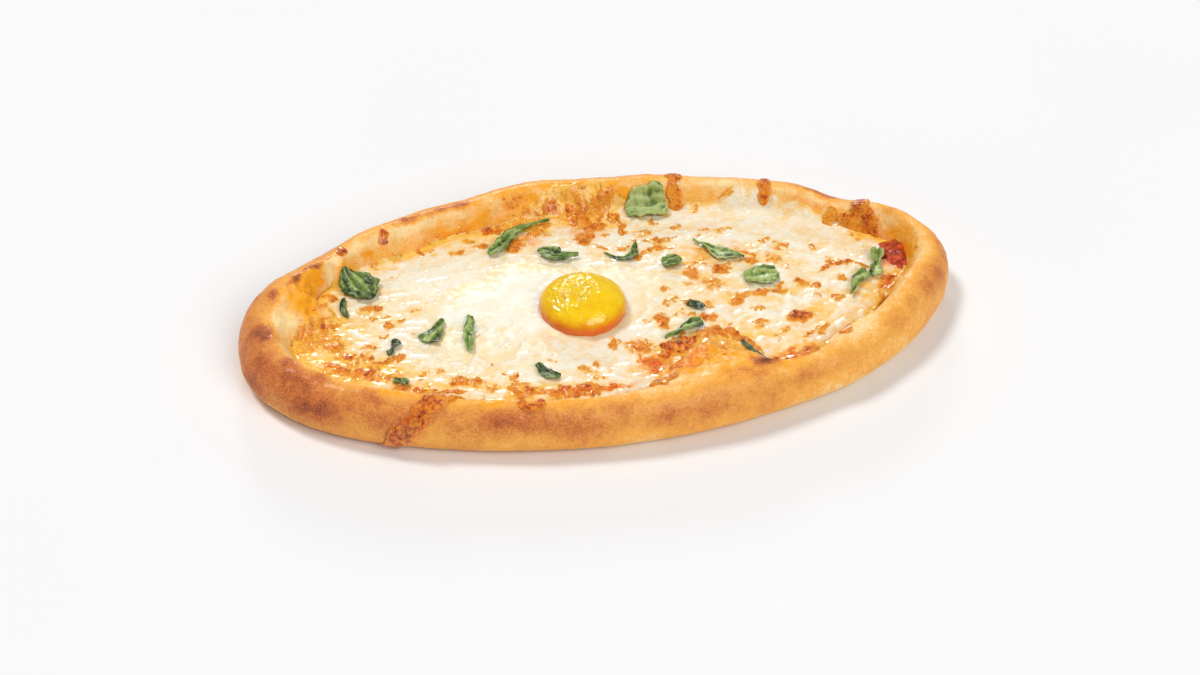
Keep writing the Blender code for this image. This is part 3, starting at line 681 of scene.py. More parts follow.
def smooth_path(points, count):
    """A Catmull-Rom curve through the points, as an array of count + 1 points."""
    ends = np.array([points[0], *points, points[-1]], float)
    along = np.linspace(0, len(points) - 1, count + 1)
    k = np.minimum(along.astype(int), len(points) - 2)
    t = (along - k)[:, None]
    p0, p1, p2, p3 = ends[k], ends[k + 1], ends[k + 2], ends[k + 3]
    bend = (2 * p0 - 5 * p1 + 4 * p2 - p3) * t * t + (3 * p1 - p0 - 3 * p2 + p3) * t**3
    return 0.5 * (2 * p1 + (p2 - p0) * t + bend)


def distance_to_path(x, y, path):
    """Distance of each point to the path, and how far along it the nearest point lies, from 0 to 1."""
    nearest = np.full(x.shape, np.inf)
    along = np.zeros(x.shape)
    for number, (a, b) in enumerate(zip(path, path[1:])):
        step = b - a
        share = ((x - a[0]) * step[0] + (y - a[1]) * step[1]) / max(step @ step, 1e-12)
        share = np.clip(share, 0, 1)
        away = np.hypot(x - a[0] - share * step[0], y - a[1] - share * step[1])
        closer = away < nearest
        nearest = np.where(closer, away, nearest)
        along = np.where(closer, (number + share) / (len(path) - 1), along)
    return nearest, along


def softened(values, radius):
    """The values of a regular grid, blurred over this many cells."""
    reach = np.arange(-3 * radius, 3 * radius + 1)
    weights = np.exp(-0.5 * (reach / radius) ** 2)
    weights /= weights.sum()
    for axis in (0, 1):
        padded = np.pad(values, [(3 * radius, 3 * radius) if a == axis else (0, 0) for a in (0, 1)], "edge")
        size = values.shape[axis]
        values = sum(w * padded.take(np.arange(k, k + size), axis) for k, w in enumerate(weights))
    return values


# The shape of the dough, on arrays of angles and places


def away_from(degrees, centre):
    """How many degrees the angles lie past a centre, from -180 to 180."""
    return (degrees - centre + 180) % 360 - 180


def lobes(degrees, table):
    """The sum of a table's soft lobes at these angles."""
    total = 0
    for centre, spread, reach in table:
        total = total + reach * np.exp(-((away_from(degrees, centre) / spread) ** 2))
    return total


def wander(degrees, seed, waves):
    """A smooth uneven value between about -1 and 1 that closes on itself round the boat."""
    radius = waves / (2 * math.pi)
    turns = np.radians(degrees)
    ring = zip(radius * np.cos(turns), radius * np.sin(turns))
    return np.array([1.6 * noise.noise(Vector((x, y, seed))) for x, y in ring])


def make_profile():
    """The section's sizes at each quarter of a degree."""
    degrees = np.arange(0, 360, 0.25)
    reach = np.zeros(len(degrees))
    for centre, before, after, depth in FOLDS:
        away = away_from(degrees, centre)
        reach += depth * np.exp(-(np.abs(away / np.where(away > 0, after, before)) ** 2.4))
    crest = CREST_HEIGHT + lobes(degrees, CREST_LOBES) + HAND_MARKS * wander(degrees, 1.3, 32)
    outer = OUTER_WIDTH + lobes(degrees, CREST_SHIFTS) + HAND_MARKS * wander(degrees, 4.7, 32)
    inner = INNER_WIDTH + reach + lobes(degrees, PLEATS) + 1.5 * HAND_MARKS * wander(degrees, 8.1, 44)
    along, across = np.cos(np.radians(degrees)), np.sin(np.radians(degrees))
    x = OUTLINE_CENTRE[0] + HALF_LENGTH * np.sign(along) * np.abs(along) ** (2 / OUTLINE_POWER)
    y = OUTLINE_CENTRE[1] + HALF_WIDTH * np.sign(across) * np.abs(across) ** (2 / OUTLINE_POWER)
    spine = OUTLINE_CENTRE[0] + SPINE_SHARE * HALF_LENGTH * along
    away = np.hypot(x - spine, y - OUTLINE_CENTRE[1])
    out_x, out_y = (x - spine) / away, (y - OUTLINE_CENTRE[1]) / away
    bulged = lobes(degrees, OUTLINE_LOBES)
    return {
        "degrees": degrees,
        "crest": crest,
        "outer": outer,
        "inner": inner,
        "fold": np.minimum(1, reach / FULL_FOLD),
        "border": BORDER + lobes(degrees, BORDER_LOBES),
        "x": x + bulged * out_x,
        "y": y + bulged * out_y,
        "out_x": out_x,
        "out_y": out_y,
    }


PROFILE = make_profile()


def around(degrees, key):
    """One of the profile's values at each angle."""
    return np.interp(degrees, PROFILE["degrees"], PROFILE[key], period=360)


def wall_height(share, crest, fold):
    """Height of the inner wall, where share is 0 at the crest and 1 at the floor."""
    share = np.clip(share, 0, 1)
    hollow = 0.5 + 0.5 * np.cos(math.pi * share**0.92)
    rounded = np.maximum(0, np.cos(0.5 * math.pi * share**1.25)) ** 0.8
    return FLOOR_THICKNESS + (crest - FLOOR_THICKNESS) * (hollow + 0.75 * fold * (rounded - hollow))


def skin(degrees, place):
    """Points on the dough at these angles and places."""
    crest, outer, inner, fold = (around(degrees, key) for key in ("crest", "outer", "inner", "fold"))
    bulge = BULGE_SHARE * crest
    turn = 0.5 * math.pi * (place % 1.0)
    share = np.clip(place - 2, 0, 1)
    inward = np.where(place < 1, FOOT_INSET * (1 - np.sin(turn)), outer * (1 - np.cos(turn)))
    height = np.where(place < 1, bulge * (1 - np.cos(turn)), bulge + (crest - bulge) * np.sin(turn))
    inward = np.where(place < 2, inward, outer + inner * share)
    height = np.where(place < 2, height, wall_height(share, crest, fold))
    x = around(degrees, "x") - inward * around(degrees, "out_x")
    y = around(degrees, "y") - inward * around(degrees, "out_y")
    return np.stack([x, y, height], -1)


def skin_frame(degrees, place):
    """How the skin moves with the angle and with the place, and its outward normal."""
    small = 0.02
    by_angle = (skin(degrees + 1, place) - skin(degrees - 1, place)) / 2
    by_place = (skin(degrees, place + small) - skin(degrees, place - small)) / (2 * small)
    out = np.cross(by_place, by_angle)
    return by_angle, by_place, out / np.linalg.norm(out, axis=-1, keepdims=True)


def even_angles(count):
    """Angles evenly spaced along the outline."""
    x, y = PROFILE["x"], PROFILE["y"]
    strides = np.hypot(np.roll(x, -1) - x, np.roll(y, -1) - y)
    travelled = np.concatenate([[0], np.cumsum(strides)])
    degrees = np.concatenate([PROFILE["degrees"], [360.0]])
    return np.interp(np.arange(count) / count * travelled[-1], travelled, degrees)


# Meshes


def new_piece(name, vertices, faces, masks=None):
    """An object with one mesh, shaded smooth, whose masks are values at its vertices."""
    mesh = bpy.data.meshes.new(name)
    mesh.from_pydata(vertices, [], faces)
    mesh.shade_smooth()
    for key, values in (masks or {}).items():
        attribute = mesh.attributes.new(key, "FLOAT", "POINT")
        attribute.data.foreach_set("value", np.asarray(values, np.float32).ravel())
    piece = bpy.data.objects.new(name, mesh)
    bpy.context.scene.collection.objects.link(piece)
    return piece


def dress(piece, material, slot, *nodes):
    """Gives a finished piece its material and its place in the frame."""
    piece.data.materials.clear()
    piece.data.materials.append(material)
    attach(piece, "root")
    if nodes:
        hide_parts(*nodes)


def point_outwards(piece):
    """Turns the faces of a closed piece outwards."""
    work = bmesh.new()
    work.from_mesh(piece.data)
    bmesh.ops.recalc_face_normals(work, faces=work.faces)
    work.to_mesh(piece.data)
    work.free()


def ring_quads(rings, count):
    """Quads between each ring of vertices and the next, as an array."""
    start = (np.arange(rings - 1)[:, None] * count + np.arange(count)).ravel()
    after = (np.arange(rings - 1)[:, None] * count + (np.arange(count) + 1) % count).ravel()
    return np.stack([start, after, after + count, start + count], 1)


def tree_of(*pieces):
    """One search tree over several pieces."""
    vertices, faces, start = [], [], 0
    for piece in pieces:
        mesh = piece.data
        places = np.empty(3 * len(mesh.vertices))
        mesh.vertices.foreach_get("co", places)
        vertices += places.reshape(-1, 3).tolist()
        faces += [[start + v for v in face.vertices] for face in mesh.polygons]
        start += len(mesh.vertices)
    return BVHTree.FromPolygons(vertices, faces)


def heights_at(tree, x, y):
    """Height of the topmost surface at each point, and 0 where there is none."""
    down = Vector((0, 0, -1))
    found = []
    for px, py in zip(x.ravel(), y.ravel()):
        hit = tree.ray_cast(Vector((px, py, 0.2)), down)[0]
        found.append(hit.z if hit else 0.0)
    return np.array(found).reshape(x.shape)


# Materials


class Finish:
    """A Principled material whose nodes are added one by one."""

    def __init__(self, name, **constants):
        self.material = bpy.data.materials.new(name)
        self.material.use_nodes = True
        self.tree = self.material.node_tree
        self.shader = self.tree.nodes["Principled BSDF"]
        for key, value in constants.items():
            self.shader.inputs[key.replace("_", " ")].default_value = value
        self.place = self.node("ShaderNodeTexCoord").outputs["Object"]

    def node(self, kind, **inputs):
        """A new node with these inputs, each a value or another node's output."""
        made = self.tree.nodes.new(kind)
        for key, value in inputs.items():
            self.feed(made.inputs[key], value)
        return made

    def feed(self, socket, value):
        """Links an output to a socket, or sets the socket to a value."""
        if isinstance(value, bpy.types.NodeSocket):
            self.tree.links.new(value, socket)
        else:
            socket.default_value = value

    def mask(self, name):
        """A value stored at the vertices."""
        made = self.node("ShaderNodeAttribute")
        made.attribute_name = name
        return made.outputs["Fac"]

    def noise(self, size, detail=3.0, stretch=(1, 1, 1)):
        """Noise with bumps of about this size in metres, from 0 to 1."""
        moved = self.node("ShaderNodeVectorMath", Vector=self.place)
        moved.operation = "MULTIPLY"
        moved.inputs[1].default_value = stretch
        made = self.node("ShaderNodeTexNoise", Vector=moved.outputs[0], Scale=1 / size, Detail=detail)
        return made.outputs["Fac"]

    def math(self, operation, a, b=0.0, clamp=False):
        """The result of an operation on two values."""
        made = self.tree.nodes.new("ShaderNodeMath")
        made.operation = operation
        made.use_clamp = clamp
        self.feed(made.inputs[0], a)
        self.feed(made.inputs[1], b)
        return made.outputs[0]

    def between(self, value, low, high, start=0.0, end=1.0):
        """Maps a value's range to another one, and keeps it inside."""
        made = self.node("ShaderNodeMapRange", Value=value)
        for key, number in (("From Min", low), ("From Max", high), ("To Min", start), ("To Max", end)):
            made.inputs[key].default_value = number
        return made.outputs["Result"]

    def mix(self, factor, a, b):
        """A colour between a and b."""
        made = self.tree.nodes.new("ShaderNodeMix")
        made.data_type = "RGBA"
        self.feed(made.inputs[0], factor)
        for socket, value in ((made.inputs[6], a), (made.inputs[7], b)):
            self.feed(socket, value if isinstance(value, bpy.types.NodeSocket) else (*value, 1))
        return made.outputs[2]

    def ramp(self, factor, *stops):
        """A colour ramp through stops of a position and a colour."""
        made = self.node("ShaderNodeValToRGB", Fac=factor)
        elements = made.color_ramp.elements
        while len(elements) < len(stops):
            elements.new(0.5)
        for element, (position, tint) in zip(elements, stops):
            element.position = position
            element.color = (*tint, 1)
        return made.outputs["Color"]

    def bump(self, *layers):
        """Bump from pairs of a height and its depth in metres."""
        normal = None
        for height, depth in layers:
            made = self.node("ShaderNodeBump", Height=height, Distance=depth)
            if normal:
                self.feed(made.inputs["Normal"], normal)
            normal = made.outputs["Normal"]
        self.feed(self.shader.inputs["Normal"], normal)

    def set(self, key, value):
        """Sets or links one input of the shader."""
        self.feed(self.shader.inputs[key], value)


def blend(a, b, share):
    """A colour between two."""
    return tuple(x + (y - x) * share for x, y in zip(a, b))


def crust_material(settings, sauce):
    """Baked dough from cream to scorched, with oil and sauce soaked in where its masks say."""
    made = Finish(
        "baked_crust",
        Subsurface_Weight=0.05,
        Subsurface_Radius=(0.002, 0.001, 0.0005),
        Subsurface_Scale=1.0,
        Specular_IOR_Level=0.12,
        Coat_Weight=0.12,
        Coat_Roughness=0.12,
    )
    mottle = made.noise(3.5 * MM, 5)
    fine = made.noise(0.9 * MM, 4)
    toast = made.math("ADD", made.mask("toast"), made.between(mottle, 0.3, 0.7, -0.07, 0.07))
    toast = made.math("ADD", toast, made.between(fine, 0.3, 0.7, -0.1, 0.1), clamp=True)
    cream, golden, brown, burnt = settings.cream, settings.golden, settings.brown, settings.burnt
    base = made.ramp(
        toast,
        (0.0, cream),
        (0.26, golden),
        (0.46, blend(golden, brown, 0.42)),
        (0.66, brown),
        (0.84, blend(brown, burnt, 0.6)),
        (1.0, burnt),
    )
    oil = made.math("MULTIPLY", made.mask("oil"), made.between(mottle, 0.3, 0.6, 0.8, 1.2), clamp=True)
    oily = made.mix(made.between(fine, 0.55, 0.72), settings.oil, blend(settings.oil, brown, 0.3))
    base = made.mix(made.math("MULTIPLY", oil, made.between(toast, 0.42, 0.64, 0.97, 0.2)), base, oily)
    red = made.math("MULTIPLY", made.mask("sauce"), made.between(mottle, 0.38, 0.58, 0.25, 1.0), clamp=True)
    base = made.mix(red, base, sauce.stain)
    speckle = made.math("MULTIPLY", made.mask("oil"), made.between(made.noise(1.6 * MM, 3), 0.62, 0.7))
    base = made.mix(made.math("MULTIPLY", speckle, 0.6), base, brown)
    pores = made.node("ShaderNodeTexVoronoi", Vector=made.place, Scale=1 / (1.7 * MM)).outputs["Distance"]
    made.set("Base Color", base)
    made.set("Roughness", made.math("SUBTRACT", 0.52, made.math("MULTIPLY", oil, 0.32)))
    made.bump((made.noise(3.0 * MM, 4), 0.4 * MM), (fine, 0.3 * MM), (pores, 0.08 * MM))
    return made.material


def cheese_material(settings, sauce, name, extra_toast=0.0):
    """Melted cheese, browned where its mask says, and by extra_toast all over."""
    made = Finish(
        name,
        Subsurface_Weight=0.1,
        Subsurface_Radius=(0.0015, 0.001, 0.0005),
        Subsurface_Scale=1.0,
        Specular_IOR_Level=0.2,
        Coat_Weight=0.6,
        Coat_Roughness=0.05,
    )
    mottle = made.noise(3.5 * MM, 5)
    fine = made.noise(0.9 * MM, 4)
    strands = made.between(made.noise(2.2 * MM, 4, (1, 2.0, 1)), 0.4, 0.62, -0.12, 0.16)
    oil = made.math("ADD", made.mask("oil"), made.between(mottle, 0.3, 0.7, -0.16, 0.16))
    oil = made.math("ADD", oil, strands, clamp=True)
    base = made.mix(oil, settings.melted, settings.oily)
    toast = made.math("ADD", made.mask("toast"), extra_toast)
    # Crinkles: the same noise makes the bump of the browned parts, and its hollows are browned more as
    # painted shade
    crinkled = made.noise(1.5 * MM, 2)
    crumpled = made.between(crinkled, 0.35, 0.65, 0.14, -0.14)
    grain = made.math("ADD", made.between(fine, 0.3, 0.7, -0.1, 0.1), crumpled)
    toast = made.math("ADD", toast, made.math("MULTIPLY", grain, made.between(toast, 0.0, 0.2)), clamp=True)
    browned = made.ramp(
        toast,
        (0.0, blend(settings.oily, settings.melted, 0.15)),
        (0.25, blend(settings.oily, settings.golden, 0.5)),
        (0.45, settings.golden),
        (0.62, blend(settings.golden, settings.brown, 0.55)),
        (0.78, settings.brown),
        (1.0, settings.burnt),
    )
    base = made.mix(made.between(toast, 0.04, 0.26), base, browned)
    red = made.math("MULTIPLY", made.mask("sauce"), made.between(mottle, 0.36, 0.6, 0.25, 1.0), clamp=True)
    base = made.mix(red, base, sauce.stain)
    made.set("Base Color", base)
    made.set("Roughness", made.between(fine, 0.3, 0.7, 0.18, 0.4))
    crust_of_it = made.math("MULTIPLY", crinkled, made.between(toast, 0.2, 0.45))
    made.bump((made.noise(2.2 * MM, 4, (1, 1.6, 1)), 0.5 * MM), (crust_of_it, 0.7 * MM), (fine, 0.22 * MM))
    return made.material


def white_material(settings):
    """Set egg white, clearer where it is thin."""
    made = Finish(
        "set_egg_white",
        Subsurface_Weight=0.25,
        Subsurface_Radius=(0.004, 0.003, 0.002),
        Subsurface_Scale=1.0,
        Specular_IOR_Level=0.3,
        Coat_Weight=0.1,
        Coat_Roughness=0.2,
    )
    cloud = made.noise(9 * MM, 4)
    thin = made.math("ADD", made.mask("thin"), made.between(cloud, 0.35, 0.7, -0.15, 0.35), clamp=True)
    made.set("Base Color", made.mix(thin, settings.white, settings.clear))
    made.set("Roughness", made.between(made.noise(3 * MM, 3), 0.3, 0.7, 0.3, 0.5))
    made.bump((made.noise(4 * MM, 4), 0.3 * MM), (made.noise(1.2 * MM, 2), 0.06 * MM))
    return made.material


def yolk_material(settings):
    """The glossy skin of the yolk, wrinkled on top and more orange at its foot, partly as painted shade on
    its lower sides.
    """
    made = Finish(
        "egg_yolk_skin",
        Subsurface_Weight=0.08,
        Subsurface_Radius=(0.003, 0.001, 0.0002),
        Subsurface_Scale=1.0,
        Specular_IOR_Level=0.1,
        Coat_Weight=0.9,
        Coat_Roughness=0.03,
    )
    mottle = made.noise(5 * MM, 4)
    # More orange towards the foot: partly the yolk's own colour, partly painted shade on its lower sides
    foot = made.math("ADD", made.mask("foot"), made.between(mottle, 0.3, 0.7, -0.08, 0.26), clamp=True)
    made.set("Base Color", made.mix(foot, settings.yolk, settings.rim))
    made.set("Roughness", made.between(made.noise(2 * MM, 3), 0.3, 0.7, 0.2, 0.4))
    wrinkled = made.math("MULTIPLY", made.noise(2.4 * MM, 3), made.mask("wrinkled"))
    made.bump((wrinkled, 2.2 * MM), (made.noise(3.0 * MM, 3), 0.3 * MM))
    return made.material


def sauce_material(settings):
    """Wet, grainy tomato sauce."""
    made = Finish(
        "tomato_sauce_wet",
        Subsurface_Weight=0.1,
        Subsurface_Radius=(0.003, 0.0008, 0.0004),
        Subsurface_Scale=1.0,
        Specular_IOR_Level=0.4,
        Coat_Weight=0.4,
        Coat_Roughness=0.08,
    )
    mottle = made.noise(3 * MM, 5)
    made.set("Base Color", made.mix(made.between(mottle, 0.38, 0.6), settings.red, settings.deep))
    made.set("Roughness", made.between(made.noise(1.2 * MM, 3), 0.3, 0.7, 0.3, 0.6))
    made.bump((made.noise(2.2 * MM, 4), 0.6 * MM), (made.noise(0.9 * MM, 3), 0.3 * MM))
    return made.material


def leaf_material(settings):
    """A wilted leaf with dried tips, lighter on its ridges and darker in its folds as painted light and
    shade.
    """
    made = Finish(
        "baked_leaf",
        Subsurface_Weight=0.1,
        Subsurface_Radius=(0.0008, 0.0015, 0.0004),
        Subsurface_Scale=1.0,
        Specular_IOR_Level=0.45,
        Coat_Weight=0.25,
        Coat_Roughness=0.12,
    )
    mottle = made.noise(2.2 * MM, 4)
    leaf_tone_and_shade = made.math("ADD", made.mask("leaf_tone_and_shade"), made.between(mottle, 0.3, 0.7, -0.16, 0.16), clamp=True)
    # Dark green stands for painted shade in the folds and light green for painted light on the ridges, mixed
    # with the leaf's own lightness and veins
    base = made.ramp(leaf_tone_and_shade, (0.05, settings.dark), (0.5, settings.fresh), (0.95, settings.light))
    base = made.mix(made.mask("burnt"), base, settings.burnt)
    made.set("Base Color", base)
    made.set("Roughness", made.between(mottle, 0.3, 0.7, 0.28, 0.5))
    made.bump((made.noise(1.2 * MM, 3), 0.2 * MM), (made.noise(0.5 * MM, 2), 0.05 * MM))
    return made.material


def speck_material(name, tint, dark, roughness):
    """A plain dry finish for what is too small to show more."""
    made = Finish(name)
    made.set("Base Color", made.mix(made.between(made.noise(1.5 * MM, 2), 0.35, 0.65), tint, dark))
    made.set("Roughness", roughness)
    return made.material


def floor_material(tint):
    """The plain pale floor."""
    made = Finish("pale_floor", Specular_IOR_Level=0.1)
    cloud = made.noise(0.4, 2)
    made.set("Base Color", made.mix(made.between(cloud, 0.3, 0.7), tint, blend(tint, (1, 1, 1), 0.15)))
    made.set("Roughness", 0.9)
    return made.material


# The crust

# What one operator makes and a later one needs
KEPT = {}


def place_in_rows(places, place):
    """The row of the crust's grid, with its fraction, at which a place lies."""
    return np.interp(place, places, np.arange(len(places)))


def relief_at(degrees, place):
    """How far the crust stands out from the smooth dough at these angles and places."""
    grid, height = KEPT["crust"]
    rows, columns = height.shape
    row = np.clip(place_in_rows(grid.places, place), 0, rows - 1.001)
    column = np.interp(degrees % 360, grid.angles, np.arange(columns))
    r, c = row.astype(int), column.astype(int)
    after = (c + 1) % columns
    lower = height[r, c] + (height[r, after] - height[r, c]) * (column - c)
    upper = height[r + 1, c] + (height[r + 1, after] - height[r + 1, c]) * (column - c)
    return lower + (upper - lower) * (row - r)


class CrustGrid:
    """The skin of the dough as a grid of rows by columns: places by angles."""

    def __init__(self, columns):
        self.angles = even_angles(columns)
        below, above, inside = CRUST_ROWS
        lower, upper = np.linspace(0, 1, below, endpoint=False), np.linspace(1, 2, above, endpoint=False)
        self.places = np.concatenate([lower, upper, np.linspace(2, 3, inside)])
        self.angle, self.place = np.meshgrid(self.angles, self.places)
        self.points = skin(self.angle, self.place)
        self.normals = self.find_normals()

    def find_normals(self):
        """The outward direction at each point of the grid."""
        by_angle = np.roll(self.points, -1, 1) - np.roll(self.points, 1, 1)
        by_place = np.gradient(self.points, axis=0)
        out = np.cross(by_place, by_angle)
        return out / np.maximum(np.linalg.norm(out, axis=-1, keepdims=True), 1e-12)

    def patch(self, degrees, place, half_along, half_across, warp):
        """A soft patch on the skin, 1 in its middle, with its edge moved by the warp."""
        column = int(np.argmin(np.abs(away_from(self.angles, degrees))))
        row = int(round(float(place_in_rows(self.places, place))))
        centre = self.points[row, column]
        by_angle = skin_frame(np.array(degrees), np.array(place))[0]
        along = by_angle / np.linalg.norm(by_angle)
        away = self.points - centre + warp
        lengthwise = away @ along
        across = np.sqrt(np.maximum((away * away).sum(-1) - lengthwise**2, 0))
        return np.exp(-(((lengthwise / half_along) ** 2 + (across / half_across) ** 2) ** 1.2))

    def patches(self, table, warp):
        """All patches of a table, the strongest at each point."""
        total = np.zeros(self.angle.shape)
        for degrees, place, half_along, half_across, strength in table:
            patch = self.patch(degrees, place, half_along * MM, half_across * MM, warp)
            total = np.maximum(total, strength * patch)
        return total


def crust_bubbles(grid, count):
    """Low bubbles in the skin, thicker on its top half."""
    dice = np.random.default_rng(5)
    height = np.zeros(grid.angle.shape)
    for _ in range(count):
        degrees, place = dice.uniform(0, 360), dice.uniform(1.1, 2.3)
        radius = dice.uniform(1.2, 3.4) * MM
        centre = skin(np.array(degrees), np.array(place))
        away = np.linalg.norm(grid.points - centre, axis=-1) / radius
        height = np.maximum(height, 0.11 * radius * np.clip(1 - away**2, 0, 1))
    return height


# Lines on the skin seen from above, in mm: the edge of the left fold, the crease beside it, and a crack
RIDGE = ((-117, 46), (-116, 32), (-114, 15))
CREASE = ((-112, 44), (-112, 28), (-112, 13))
CRACK = ((-82, -68), (-76, -70), (-69, -70.5), (-62, -72))
# Where the dough folds over the filling: the middle and the half width in degrees
FOLDED = ((164, 15), (287, 12))


def near_line(points, path, width):
    """1 on a path given in mm, fading to 0 at about the width from it, seen from above."""
    away, _ = distance_to_path(points[..., 0], points[..., 1], smooth_path(path, 12) * MM)
    return np.exp(-((away / width) ** 2))


def folded_over(grid):
    """1 where the dough folds over the filling."""
    inside = smoothstep(grid.place, 1.95, 2.25)
    return inside * sum(np.exp(-((away_from(grid.angle, centre) / half) ** 4)) for centre, half in FOLDED)


def crust_relief(grid, settings):
    """How far the skin stands out from the smooth dough."""
    points = grid.points
    height = settings.waves * layered(points, 16 * MM, 3) + 0.5 * settings.waves * layered(points, 5 * MM, 9)
    height += settings.grain * rough(points, 1.6 * MM, 4) + crust_bubbles(grid, settings.bubbles)
    lumpy = layered(points, 8 * MM, 11) + 0.7 * rough(points, 3 * MM, 12)
    height += settings.lumps * folded_over(grid) * lumpy
    inside = smoothstep(grid.place, 2.05, 2.25)
    height += MM * grid.patches(SWELLS, 0.0)
    height += 1.8 * MM * inside * near_line(points, RIDGE, 2.4 * MM)
    height -= 1.5 * MM * inside * near_line(points, CREASE, 1.6 * MM)
    from_pleats = away_from(grid.angle, 131)
    pleated = np.cos(np.radians(from_pleats) * 52) * np.exp(-((from_pleats / 14) ** 2))
    height += 0.5 * MM * pleated * inside * smoothstep(3 - grid.place, 0, 0.3)
    on_top = smoothstep(grid.place, 1.2, 1.4) * smoothstep(2.3 - grid.place, 0, 0.2)
    height -= 0.5 * MM * on_top * near_line(points, CRACK, 0.9 * MM)
    return height * smoothstep(points[..., 2], 0.5 * MM, 5 * MM) * smoothstep(3.02 - grid.place, 0, 0.15)


def crust_masks(grid, settings):
    """How browned, oily and reddened the skin is at each point, and where bubbles fried on it."""
    points = grid.points
    warp = np.stack([layered(points, 6 * MM, seed) for seed in (21, 22, 23)], -1) * 3 * MM
    cloud, patchy = layered(points, 24 * MM, 31), layered(points, 11 * MM, 32)
    # The outer face is browner and the crest paler: partly the dough's own browning, partly painted shade on
    # the outer face and painted light on the crest
    outer_browning_and_shade = np.exp(-(((grid.place - 1.42) / 0.34) ** 2))
    crest_pale_and_lit = np.exp(-(((grid.place - 1.95) / 0.2) ** 2))
    left_end = np.exp(-((away_from(grid.angle, 205) / 42) ** 2)) * smoothstep(2.3 - grid.place, 0, 0.5)
    back = np.exp(-((away_from(grid.angle, 95) / 80) ** 2)) * smoothstep(1.9 - grid.place, 0, 0.3)
    right_end = np.exp(-((away_from(grid.angle, 312) / 24) ** 2)) * smoothstep(2.3 - grid.place, 0, 0.5)
    toast = settings.toast + 0.13 * outer_browning_and_shade - 0.1 * crest_pale_and_lit + 0.15 * cloud + 0.14 * patchy
    toast += 0.25 * left_end - 0.1 * right_end + 0.05 * back
    # Paler down the inner side from the crest: partly the dough's own colour, partly a painted highlight
    # along the crest's inner edge; paler again at the foot
    toast -= 0.24 * smoothstep(grid.place, 1.98, 2.2) + 0.1 * smoothstep(1.0 - grid.place, 0, 0.5)
    pale = grid.patches(PALE_PLACES, warp)
    toast += grid.patches(SCORCHES, warp) - pale
    inside = smoothstep(grid.place, 2.1, 2.3)
    ridge = smoothstep(grid.place, 1.98, 2.06) * near_line(points, RIDGE, 2.8 * MM)
    # Painted shade: the crease beside the left fold is browned darker
    toast += 0.3 * inside * near_line(points, CREASE, 1.4 * MM)
    outer, inner = around(grid.angle, "outer"), around(grid.angle, "inner")
    to_border = (grid.place - 2) * inner + outer - around(grid.angle, "border")
    short_of_border = np.minimum(to_border + 1 * MM, 0)
    at_border = np.exp(-((short_of_border / (5 * MM)) ** 2)) * smoothstep(grid.place, 2.0, 2.3)
    oil = np.maximum(grid.patches(OILY_PLACES, warp), (0.6 + 0.5 * cloud) * at_border)
    oil *= (1 - 0.95 * ridge) * (1 - np.clip(1.6 * pale, 0, 0.8))
    spots = smoothstep(layered(points, 3.6 * MM, 33), 0.1, 0.45)
    toast = np.maximum(toast + 0.26 * spots * oil - 0.1 * oil, 0.22 * oil) - 1.2 * ridge
    seeping = 0.4 * at_border * smoothstep(patchy, 0.0, 0.5)
    sauce = np.maximum(grid.patches(RED_PLACES, warp), seeping) * (1 - ridge)
    room = np.maximum(smoothstep(oil * (0.6 + patchy), 0.35, 0.8), 0.6 * smoothstep(sauce, 0.4, 0.8))
    room *= smoothstep(grid.place, 2.0, 2.15)
    masks = {"toast": toast, "oil": 1.2 * oil, "sauce": sauce, "room": room}
    return {key: np.clip(values, 0, 1.2) for key, values in masks.items()}


class PEINIRLI_OT_crust(bpy.types.Operator):
    """Make the baked dough"""

    bl_idname = "peinirli.crust"
    bl_label = "Crust"

    def execute(self, context):
        settings = context.scene.peinirli_crust
        grid = CrustGrid(CRUST_COLUMNS)
        height = crust_relief(grid, settings)
        KEPT["crust"] = grid, height
        vertices = (grid.points + grid.normals * height[..., None]).reshape(-1, 3)
        rows, count = grid.angle.shape
        faces = ring_quads(rows, count).tolist()
        floor = (rows - 1) * count
        faces.append(list(range(floor, floor + count)))
        faces.append(list(reversed(range(count))))
        crust = new_piece("crust", vertices, faces, crust_masks(grid, settings))
        point_outwards(crust)
        dress(crust, crust_material(settings, context.scene.peinirli_sauce), "crust", "dough")
        return {"FINISHED"}


# The cheese


